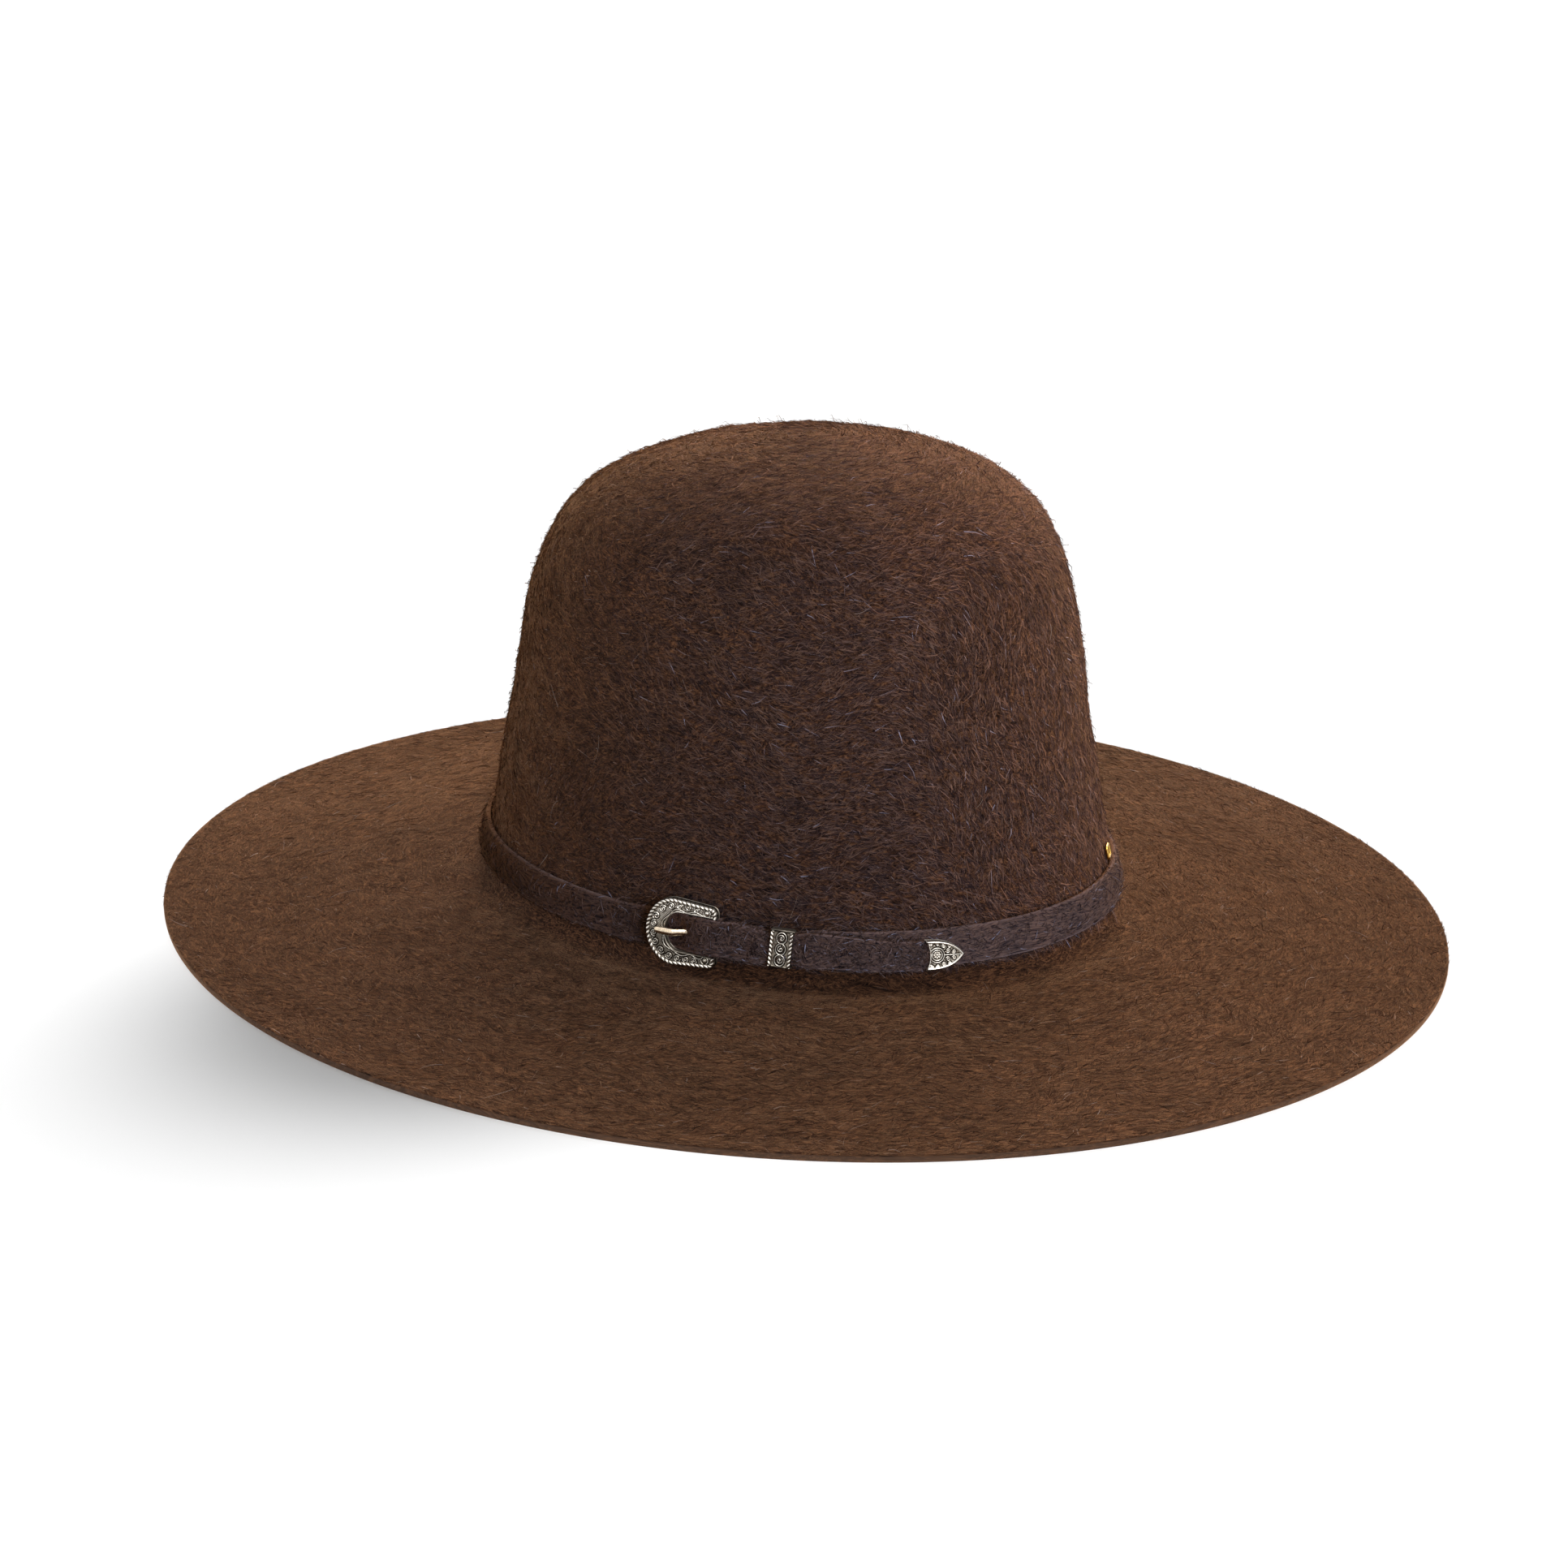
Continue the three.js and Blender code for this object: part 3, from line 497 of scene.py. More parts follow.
def studio_paper(name, colour):
    """Seamless white background paper: matt, with a barely visible tooth of 1.5 mm."""
    material, tree, shader = start_material(name)
    bump = add_node(tree, "ShaderNodeBump",
                    {"Height": object_noise(tree, 1.5, 2.0), "Strength": 0.05, "Distance": 0.1 * MM})
    set_inputs(tree, shader, {"Base Color": colour, "Normal": bump.outputs[0], "Roughness": 0.9})
    return material


# Places along the strap

class StrapLine:
    """The strap's middle line round the crown, and axes along it, up the wall and out of it."""

    def __init__(self):
        p = bpy.context.scene.felt_hat
        s = self.sizes = body_sizes()
        self.width, self.thick = in_mm(p.strap_width), in_mm(p.strap_thickness)
        low = s["foot"] + in_mm(p.strap_above_break)
        heights = (low, low + self.width / 2, low + self.width)
        self.low, self.middle, self.high = (wall_oval(s, z) for z in heights)
        self.turns = BUCKLE_TURN + np.linspace(0, 2 * math.pi, 3601)
        points = oval_points(self.middle[None], self.turns)[0]
        self.ends = np.concatenate([[0], np.cumsum(np.linalg.norm(np.diff(points, axis=0), axis=1))])
        self.loop = self.ends[-1]

    def axes(self, turns, low, high):
        up = unit(oval_points(high[None], turns)[0] - oval_points(low[None], turns)[0])
        along = np.stack([-low[0] * np.sin(turns), low[1] * np.cos(turns), 0 * turns], -1)
        out = unit(np.cross(along, up))
        along = unit(along)
        return along, unit(np.cross(out, along)), out

    def place(self, along, raised=0.0):
        """Origins and axes at lengths along the strap."""
        turns = np.interp(np.mod(along, self.loop), self.ends, self.turns)
        axes = self.axes(turns, self.low, self.high)
        origin = oval_points(self.middle[None], turns)[0]
        return origin + axes[1] * np.reshape(raised, (-1, 1)), axes

    def seat(self, along, raised=0.0):
        """One rigid place: a function that puts local points (along, up, out) on the hat."""
        origin, axes = self.place(np.array([along]), raised)
        basis = np.stack([a[0] for a in axes])
        return lambda local: origin[0] + np.asarray(local) @ basis


def strap_levels(line):
    """Heights off the wall at which the strap, the buckle and the tip lie."""
    under = GAP
    over = under + line.thick + GAP
    bar = GAP + EYE_RADIUS
    under_keeper = GAP + KEEPER_WALL + SMALL_GAP
    over_keeper = under_keeper + line.thick * PINCH + SMALL_GAP
    return {
        "under": under, "over": over, "bar": bar, "over_bar": bar + EYE_RADIUS + GAP,
        "under_keeper": under_keeper, "over_keeper": over_keeper,
        "keeper_top": over_keeper + line.thick * PINCH + SMALL_GAP,
        "tip_middle": over + TIP_WALL + SOCKET_HALF,
    }


def strap_run(line, levels):
    """The strap's course as the solid model has it: length along it, lift, raise, width and thickness."""
    loop, wide, thick = line.loop, line.width, line.thick
    under, over, over_bar = levels["under"], levels["over"], levels["over_bar"]
    half, end = KEEPER_LENGTH / 2 + GAP, FRAME_LENGTH / 2
    frame_wide = FRAME_OPENING - 2 * GAP
    pinched = (PINCHED_WIDTH * wide, thick * PINCH)
    shoulder = TIP_AT - 2 * GAP
    socket = (levels["tip_middle"] - STRAP_END_THICK / 2, -STRAP_DROOP, TIP_HEIGHT - 2 * TIP_WALL - 2 * GAP,
              STRAP_END_THICK)
    return np.array([
        (BAR_AT, under, BUCKLE_RAISE, frame_wide, thick),
        (BAR_AT + EYE_RADIUS, under, BUCKLE_RAISE, frame_wide, thick),
        (end + PINCH_RAMP, under, 0, wide, thick),
        (KEEPER_AT - half - PINCH_RAMP, under, 0, wide, thick),
        (KEEPER_AT - half, levels["under_keeper"], 0, *pinched),
        (KEEPER_AT + half, levels["under_keeper"], 0, *pinched),
        (KEEPER_AT + half + PINCH_RAMP, under, 0, wide, thick),
        (loop - FRAME_LENGTH, under, 0, wide, thick),
        (loop - end + 6, under, BUCKLE_RAISE, frame_wide, thick),
        (loop + BAR_AT - EYE_RADIUS, over_bar, BUCKLE_RAISE, frame_wide, 0.8 * thick),
        (loop + BAR_AT + EYE_RADIUS, over_bar, BUCKLE_RAISE, frame_wide, 0.8 * thick),
        (loop + end + PINCH_RAMP, over, BUCKLE_RAISE, frame_wide, thick),
        (loop + KEEPER_AT - half - PINCH_RAMP, over, 0, 0.94 * wide, thick),
        (loop + KEEPER_AT - half, levels["over_keeper"], 0, *pinched),
        (loop + KEEPER_AT + half, levels["over_keeper"], 0, *pinched),
        (loop + KEEPER_AT + half + PINCH_RAMP, over, 0, 0.94 * wide, thick),
        (loop + shoulder - PINCH_RAMP, over, -STRAP_DROOP, TIP_HEIGHT, thick),
        (loop + shoulder, over, -STRAP_DROOP, TIP_HEIGHT, thick),
        (loop + shoulder + GAP, *socket),
        (loop + TIP_AT + SOCKET_DEPTH - GAP, *socket),
    ])


def course_at(run, along):
    """Lift, raise, width and thickness of the strap, eased between the rows of its run."""
    above = np.clip(np.searchsorted(run[:, 0], along, side="left"), 1, len(run) - 1)
    low, high = run[above - 1], run[above]
    ease = smoothstep(along, low[:, 0], high[:, 0])[:, None]
    return lerp(low[:, 1:], high[:, 1:], ease)


# Cast relief

def nearest_on(points, line):
    """Distance from each point to a polyline, and how far along it the nearest place is."""
    best = np.full(len(points), 1e9)
    along = np.zeros(len(points))
    steps = np.diff(line, axis=0)
    lengths = np.linalg.norm(steps, axis=1)
    starts = np.concatenate([[0], np.cumsum(lengths)[:-1]])
    for start, step, length, begin in zip(line[:-1], steps, lengths, starts):
        share = np.clip(((points - start) @ step) / (length * length), 0, 1)
        distance = np.linalg.norm(points - start - share[:, None] * step, axis=1)
        closer = distance < best
        best[closer] = distance[closer]
        along[closer] = (begin + share * length)[closer]
    return best, along


def rope_edge(distance, along, width, pitch, height):
    """A twisted rope edge, a half-round band cut by slanting grooves: its height and its brightness."""
    share = np.clip(distance / width, 0, 1)
    band = np.sqrt(np.clip(1 - (2 * share - 1) ** 2, 0, 1))
    strand = np.abs(np.sin(math.pi * (along / pitch + 0.75 * share)))
    return np.where(distance < width, height * band * (0.3 + 0.7 * strand ** 0.7), 0), band * strand


def ridge(distance, width, height):
    return height * np.exp(-(distance / (width / 2)) ** 2)


def chased(distance, width, height):
    """A raised line with a groove chased along both sides: its height and its brightness."""
    raised = np.exp(-(distance / (width / 2)) ** 2)
    groove = np.exp(-((distance - 0.9 * width) / (0.4 * width)) ** 2)
    return height * (raised - 0.5 * groove), 0.4 * raised - 0.6 * groove


def spiral(x, y, radius, turns, start, hand=1):
    """A scroll: a line that winds in to its middle."""
    t = np.linspace(0, 1, 40)
    angle = start + hand * turns * 2 * math.pi * t
    reach = radius * (1 - 0.85 * t)
    return np.stack([x + reach * np.cos(angle), y + reach * np.sin(angle)], -1)


def scroll_distances(xy, nearest, scrolls, turns, reach):
    """Distances to lines, made less round each scroll where the scroll's line is nearer."""
    for x, y, radius, start, hand in scrolls:
        near = np.hypot(xy[:, 0] - x, xy[:, 1] - y) < radius + reach
        distance, _ = nearest_on(xy[near], spiral(x, y, radius, turns, start, hand))
        nearest[near] = np.minimum(nearest[near], distance)


def mirrored(scrolls):
    """Scroll middles, radii, starting angles and hands, and the same turned over for the lower half."""
    return scrolls + [(x, -y, radius, -start, -hand) for x, y, radius, start, hand in scrolls]


def plate(xy, shape, height, back):
    """Closed plate: a grid of places, its front standing at height and its outline level at the back."""
    rows, columns = shape
    border = np.concatenate([
        np.arange(columns), (np.arange(1, rows)) * columns + columns - 1,
        (rows - 1) * columns + np.arange(columns - 2, -1, -1), np.arange(rows - 2, 0, -1) * columns,
    ])
    outline = np.concatenate([xy[border], np.full((len(border), 1), back)], 1)
    points = np.concatenate([np.concatenate([xy, height[:, None]], 1), outline])
    first = rows * columns
    count = len(border)
    faces = grid_faces(rows, columns)
    after = (np.arange(count) + 1) % count
    faces += np.stack([border, border[after], first + after, first + np.arange(count)], -1).tolist()
    faces.append((first + np.arange(count)[::-1]).tolist())
    return points, faces


def arc(x, y, rx, ry, start, end, count):
    angle = np.linspace(start, end, count)
    return np.stack([x + rx * np.cos(angle), y + ry * np.sin(angle)], -1)


def tube(line, width, thick, across, steps=12, taper=None):
    """Closed tube with an oval section along a line; across is its width direction."""
    line = np.asarray(line, float)
    taper = np.ones(len(line)) if taper is None else taper
    heading = unit(np.gradient(line, axis=0))
    side = np.broadcast_to(np.asarray(across, float), line.shape)
    up = unit(np.cross(side, heading))
    angle = np.linspace(0, 2 * math.pi, steps, endpoint=False)
    ring = (side[:, None] * (np.cos(angle)[None, :, None] * width / 2)
            + up[:, None] * (np.sin(angle)[None, :, None] * thick / 2)) * taper[:, None, None]
    points = np.concatenate([(line[:, None] + ring).reshape(-1, 3), line[:1], line[-1:]])
    return points, closed_faces(len(line), steps)


def merged(*solids):
    """Several (points, faces) as one."""
    points, faces, first = [], [], 0
    for some, theirs in solids:
        points.append(np.asarray(some, float))
        faces += [[i + first for i in face] for face in theirs]
        first += len(some)
    return np.concatenate(points), faces


def block(along, up, out):
    """A small plain box, hidden behind the casting."""
    points = [(x, y, z) for x in along for y in up for z in out]
    faces = [[0, 1, 3, 2], [4, 6, 7, 5], [0, 4, 5, 1], [2, 3, 7, 6], [0, 2, 6, 4], [1, 5, 7, 3]]
    return np.array(points, float), faces


# What a user can change

def length(name, description, default):
    return bpy.props.FloatProperty(name=name, description=description, default=default * MM, min=0.0,
                                   unit="LENGTH", precision=5)


def colour(name, description, default):
    return bpy.props.FloatVectorProperty(name=name, description=description, default=shown(default), size=3,
                                         subtype="COLOR", min=0.0, max=1.0)


def number(name, description, default):
    return bpy.props.IntProperty(name=name, description=description, default=default, min=1)


class FeltHatSettings(bpy.types.PropertyGroup):
    crown_length: length("Crown length", "Length of the crown's oval at its foot", 205)
    crown_width: length("Crown width", "Width of the crown's oval at its foot", 170)
    crown_height: length("Crown height", "Height of the crown above the brim", 138)
    brim_width: length("Brim width", "Width of the brim from crown to edge", 98.5)
    brim_drop: length("Brim drop", "How far the brim slopes down to its rim", 4.2)
    brim_break: length("Brim break", "Radius of the bend from crown to brim", 5.5)
    rim_land: length("Rim land", "Width of the flat ring that the hat rests on", 8)
    felt: length("Felt", "Thickness of the felt", 1.8)
    strap_width: length("Strap width", "Width of the strap hatband", 10.6)
    strap_thickness: length("Strap thickness", "Thickness of the strap hatband", 1.8)
    strap_above_break: length("Strap above break", "Height of the strap's lower edge over the bend", 0.1)
    hair_length: length("Hair length", "Usual length of a hair on the felt", 3.0)
    hair_width: length("Hair width", "Drawn width of a lock of hairs, broad enough to show", 0.26)
    nap_hairs: number("Nap hairs", "Number of curved hairs on the crown, and on the brim", 55000)
    under_hairs: number("Underfur hairs", "Number of short straight hairs under them on each", 138000)
    strap_hairs: number("Strap hairs", "Number of hairs on the strap", 14000)
    stray_hairs: number("Stray hairs", "Number of long pale hairs that stand off the nap", 260)
    felt_dark: colour("Felt shade", "Colour deep between the hairs", "160F0C")
    felt_middle: colour("Felt", "Main colour of the felt", "442D20")
    felt_light: colour("Felt light", "Colour of the hairs that catch the light", "765136")
    felt_cut: colour("Cut felt", "Colour of a raw cut edge, which shows the felt's paler core", "68503F")
    felt_sheen: colour("Felt sheen", "Colour of the felt's soft gleam at a low angle", "CC9A6E")
    guard_hair: colour("Guard hair", "Colour of the few pale hairs", "8F7C6E")
    strap_dark: colour("Strap shade", "Colour deep between the strap's hairs", "160F0D")
    strap_middle: colour("Strap", "Main colour of the strap", "5E402D")
    # The strap's edge colour is the pale core lightened further into a painted highlight on its edges
    strap_edge_and_highlight: colour("Strap edge", "Colour of the strap's cut edges", "8A6349")
    silver_bright: colour("Silver", "Colour of the polished relief", "E6E1D8")
    silver_worn: colour("Worn silver", "Colour between relief and recess", "8E867A")
    silver_soot: colour("Silver recess", "Colour of the blackened recesses", "1E1813")
    brass: colour("Tongue", "Colour of the tongue's pale brass", "F0DCC0")
    gold: colour("Side pin", "Colour of the side pin", "E2B45C")
    paper: colour("Background", "Colour of the studio paper", "FCFCFC")


def settings():
    return bpy.context.scene.felt_hat


def nap_coordinate(points, across):
    """Coordinate for the nap's streaks: round the hat, pressed to half, and the skin's run across it."""
    turn = np.arctan2(points[..., 1], points[..., 0])
    return np.stack([NAP_RADIUS * np.cos(turn), NAP_RADIUS * np.sin(turn), across], -1)


# Pieces

class FELTHAT_OT_body(bpy.types.Operator):
    """Hollow felt body: crown, rounded break, wide brim with a raw cut edge, and the inside"""
    bl_idname = "felt_hat.body"
    bl_label = "Felt Body"

    def execute(self, context):
        s, p = body_sizes(), settings()
        outer_skin, outer, normals, _ = felt_skin(s, *BODY_GRID)
        run = np.concatenate([[0], np.cumsum(np.linalg.norm(np.diff(outer[:, 0], axis=0), axis=1))])
        inner = (outer - normals * s["felt"])[::-INSIDE_STEP]
        rim = outer[-1]
        edge = [rim - np.array([0, 0, s["felt"] * share]) + normals_out(rim) * bulge
                for share, bulge in RIM_EDGE]
        foot = inner[0].copy()
        foot[:, 2] = np.maximum(foot[:, 2], 0)
        rings = np.concatenate([outer_skin, np.array(edge), foot[None], inner[1:]])
        rings[..., 2] = np.maximum(rings[..., 2], 0)
        # The streaks run on over the cut edge, half a millimetre a row, and more coarsely on the inside
        across = np.concatenate([run, run[-1] + np.arange(1, len(edge) + 1) * 0.5,
                                 run[-1] + 2 + np.arange(len(inner)) * 4.0])
        top = np.array([[0, CROWN_LEAN, s["foot"] + s["rise"]]])
        points = np.concatenate([rings.reshape(-1, 3), top, top - (0, 0, s["felt"])])
        nap = nap_coordinate(rings, np.repeat(across[:, None], rings.shape[1], 1)).reshape(-1, 3)
        nap = np.concatenate([nap, [[20, 0, 0]], [[20, 0, across[-1]]]])
        cut = np.zeros(len(points))
        cut[len(outer_skin) * len(rim):(len(outer_skin) + len(edge)) * len(rim)] = RIM_CUT
        material = fur_felt("pounced_fur_felt", rgba(p.felt_dark), rgba(p.felt_middle), rgba(p.felt_light),
                            rgba(p.felt_cut), rgba(p.felt_sheen))
        body = make_piece("felt_body", points, closed_faces(*rings.shape[:2]), material, "body_felt",
                          {"nap": nap, "cut": cut})
        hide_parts("hat_body")
        return {"FINISHED"}


def normals_out(ring):
    """Level outward directions round the hat at a ring of points."""
    side = np.roll(ring, -1, 0) - np.roll(ring, 1, 0)
    return unit(np.cross(side, np.array([0.0, 0, 1])))


def brown_stops(p):
    """Shades of single hairs from dark to light, the last few percent pale."""
    return [(0.0, rgba(p.felt_dark)), (0.5, rgba(p.felt_middle)), (0.985, rgba(p.felt_light)),
            (1.0, rgba(p.guard_hair))]


class FELTHAT_OT_nap(bpy.types.Operator):
    """Nap of the felt: short hairs brushed over crown and brim, and long pale stray hairs"""
    bl_idname = "felt_hat.nap"
    bl_label = "Nap"

    def execute(self, context):
        s, p = body_sizes(), settings()
        rng = np.random.default_rng(SEED)
        whole, _, _, split = felt_skin(s, *NAP_GRID)
        length, width = in_mm(p.hair_length), in_mm(p.hair_width)
        material = fur_fibre("dyed_fur_hair", brown_stops(p), rgba(p.felt_sheen))
        crown, brim = whole[:split + 1], whole[split:]
        # Name, band of the skin, hairs, heading, lift, roll, wander, steps along a hair
        for name, band, count, turned, lift, roll, wander, steps in (
            ("crown_underfur", crown, p.under_hairs, crown_heading, 0.16, 0.5, 0.5, 1),
            ("brim_underfur", brim, p.under_hairs, brim_heading, 0.1, 0.24, 0.6, 1),
            ("crown_nap", crown, p.nap_hairs, crown_heading, 0.4, 0.75, 0.38, 2),
            ("brim_nap", brim, p.nap_hairs, brim_heading, 0.2, 0.36, 0.5, 2),
        ):
            place, normal, around, down = scatter(band, count, rng)
            heading = turned_from(around, down, turned(place) + rng.normal(0, wander, count))
            points, faces, shade = fibres(place, heading, normal, rng, length, width, lift, roll, steps,
                                          bend=0.22)
            make_piece(name, trimmed(points, s), faces, material, "body_felt", {"shade": shade})
        # Stray hairs keep clear of the innermost rings, which draw together at the apex
        place, normal, around, down = scatter(whole[2:], p.stray_hairs, rng)
        heading = turned_from(around, down, rng.uniform(0, 2 * math.pi, p.stray_hairs))
        points, faces, shade = fibres(place, heading, normal, rng, length=5.5, width=0.14, lift=0.6,
                                      roll=0.9, steps=6, bend=0.5)
        pale = fur_fibre("pale_guard_hair", [(0.0, rgba(p.felt_light)), (0.6, rgba(p.guard_hair)),
                                             (1.0, rgba(p.guard_hair, 1.5))], rgba(p.felt_sheen))
        make_piece("stray_hairs", trimmed(points, s), faces, pale, "body_felt", {"shade": shade})
        return {"FINISHED"}


class FELTHAT_OT_strap(bpy.types.Operator):
    """Felt strap hatband, once round the crown and over itself to its pointed tip, with its hairs"""
    bl_idname = "felt_hat.strap"
    bl_label = "Strap"

    def execute(self, context):
        p, line = settings(), StrapLine()
        levels = strap_levels(line)
        run = strap_run(line, levels)
        # Sections stand close together near the castings, and closest where the strap lies over itself
        fine_end, fine_start = TIP_AT + 8, line.loop - 24
        along = np.unique(np.concatenate([
            run[:, 0], np.arange(BAR_AT, fine_end, LOWER_STEP), np.arange(fine_end, fine_start, FAR_STEP),
            np.arange(fine_start, run[-1, 0], UPPER_STEP)]))
        lift, raised, wide, thick = course_at(run, along).T
        angle = np.linspace(0, 2 * math.pi, SECTION_POINTS, endpoint=False)
        cos, sin = np.cos(angle), np.sin(angle)
        square = np.stack([np.sign(cos) * np.abs(cos) ** SECTION_WIDE,
                           np.sign(sin) * np.abs(sin) ** SECTION_THICK])
        origin, (ahead, up, out) = line.place(along, raised)
        u = square[0][None] * wide[:, None] / 2
        o = lift[:, None] + thick[:, None] * (0.5 + 0.5 * square[1][None])
        # The hole that the tongue comes up through presses the upper layer in
        hole = np.exp(-(((along - line.loop - HOLE_AT)[:, None] / HOLE_LONG) ** 4 + (u / HOLE_WIDE) ** 4))
        o = o - hole * thick[:, None] * HOLE_DEPTH * (square[1][None] > 0)
        rings = origin[:, None] + up[:, None] * u[..., None] + out[:, None] * o[..., None]
        wobble = noise_at(rings, STRAP_LUMP[0], 5).reshape(rings.shape[:2]) * STRAP_LUMP[1]
        away = unit(up[:, None] * (square[0][None, :, None]) + out[:, None] * (square[1][None, :, None]))
        rings = rings + away * wobble[..., None]
        points = np.concatenate([rings.reshape(-1, 3), rings[:1].mean(1), rings[-1:].mean(1)])
        count, columns = rings.shape[:2]
        nap = np.stack([np.repeat(along[:, None] / 4, columns, 1), u, o], -1).reshape(-1, 3)
        nap = np.concatenate([nap, nap[:1], nap[-1:]])
        # Both cut edges of the strap get the pale core colour, lightened into a painted highlight
        cut = STRAP_CUT_AND_HIGHLIGHT * smoothstep(np.abs(square[0]), 0.86, 1.0)[None] * np.ones((count, 1))
        seat = line.seat(0.0, BUCKLE_RAISE)
        eye = [seat_piece(tube(arc_path(height), EYE_WIDE, EYE_THICK, (0, 1, 0)), seat, levels["bar"])
               for height in EYE_AT]
        strap = merged((points, closed_faces(count, columns)), *eye)
        nap = np.concatenate([nap, np.zeros((len(strap[0]) - len(nap), 3))])
        cut = np.concatenate([cut.ravel(), np.zeros(len(strap[0]) - cut.size)])
        material = fur_felt("strap_fur_felt", rgba(p.strap_dark), rgba(p.strap_middle), rgba(p.felt_light),
                            rgba(p.strap_edge_and_highlight), rgba(p.felt_sheen), streak=0.5, sheen=0.45)
        piece = make_piece("strap_band", *strap, material, "strap_felt", {"nap": nap, "cut": cut})
        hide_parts("band_strap")
        self.hairs(p, rings, away, ahead)
        return {"FINISHED"}

    def hairs(self, p, rings, away, ahead):
        """Short hairs on the strap's outer side and edges; the castings hide those under them."""
        rng = np.random.default_rng(SEED + 1)
        count, half_ring = p.strap_hairs, rings.shape[1] // 2
        spans = np.linalg.norm(np.diff(rings[len(rings) // 2, :half_ring + 1], axis=0), axis=1)
        row = rng.integers(1, len(rings) - 8, count)
        column = rng.choice(half_ring, count, p=spans / spans.sum())
        share, along = rng.random((count, 1)), ahead[row]
        place = lerp(rings[row, column], rings[row, column + 1], share)
        place = place + along * rng.uniform(-0.8, 0.8, (count, 1))
        normal = unit(lerp(away[row, column], away[row, column + 1], share))
        heading = turned_from(along, unit(np.cross(normal, along)), rng.normal(0, 0.9, count))
        points, faces, shade = fibres(place, heading, normal, rng, length=2.1, width=0.27, lift=0.28,
                                      roll=1.1, steps=2, bend=0.25)
        material = fur_fibre("strap_fur_hair", [(0.0, rgba(p.strap_dark)), (0.5, rgba(p.strap_middle)),
                                                (0.93, rgba(p.felt_light)), (1.0, rgba(p.guard_hair))],
                             rgba(p.felt_sheen), sheen=0.45)
        make_piece("strap_nap", points, faces, material, "strap_felt", {"shade": shade})


def arc_path(height):
    """Course of the strap's sewn end round the buckle's bar, as local along, up and out."""
    angle = np.linspace(math.radians(-80), math.radians(260), 22)
    radius = EYE_RADIUS - 0.3
    return np.stack([BAR_AT + radius * np.cos(angle), np.full(22, height), radius * np.sin(angle)], -1)


def seat_piece(solid, seat, lift=0.0):
    """A solid in local along, up and out, lifted and put on the hat."""
    points, faces = solid
    return seat(np.asarray(points) + (0, 0, lift)), faces


def make_casting(name, points, faces, relief, side):
    """A piece of the one antiqued silver: relief is the plate's brightness, and side that of the rest."""
    p = settings()
    made = bpy.data.materials.get("antiqued_cast_silver")
    made = made or antiqued_silver("antiqued_cast_silver", rgba(p.silver_bright), rgba(p.silver_worn),
                                   rgba(p.silver_soot))
    tone = np.full(len(points), side)
    tone[:len(relief)] = relief
    return make_piece(name, points, faces, made, "antique_silver", {"relief": tone})


def frame_lines():
    """Inner and outer outline of the C, point for point, from the upper arm's end to the lower one's."""
    left, right = -FRAME_LENGTH / 2, FRAME_LENGTH / 2
    half, end, open_half = FRAME_HEIGHT / 2, FRAME_END_HEIGHT / 2, FRAME_OPENING / 2
    bend, inner_bend = left + FRAME_BEND, left + FRAME_SIDE + FRAME_INNER_BEND
    corner = arc(right - FRAME_CORNER, end - FRAME_CORNER, FRAME_CORNER, FRAME_CORNER, 0, math.pi / 2, 24)
    straight = np.linspace(corner[-1], (bend, half), 76)[1:]
    side = arc(bend, 0, FRAME_BEND, half, math.pi / 2, math.pi, 90)[1:]
    outer = np.concatenate([corner, straight, side])
    inner_x = np.linspace(right, right - FRAME_CORNER, 24)
    inner_x = np.concatenate([inner_x, np.linspace(right - FRAME_CORNER, inner_bend, 76)[1:]])
    inner = np.concatenate([np.stack([inner_x, np.full(99, open_half)], -1),
                            arc(inner_bend, 0, FRAME_INNER_BEND, open_half, math.pi / 2, math.pi, 90)[1:]])
    flip = np.array([1, -1])
    return np.concatenate([inner, inner[-2::-1] * flip]), np.concatenate([outer, outer[-2::-1] * flip])


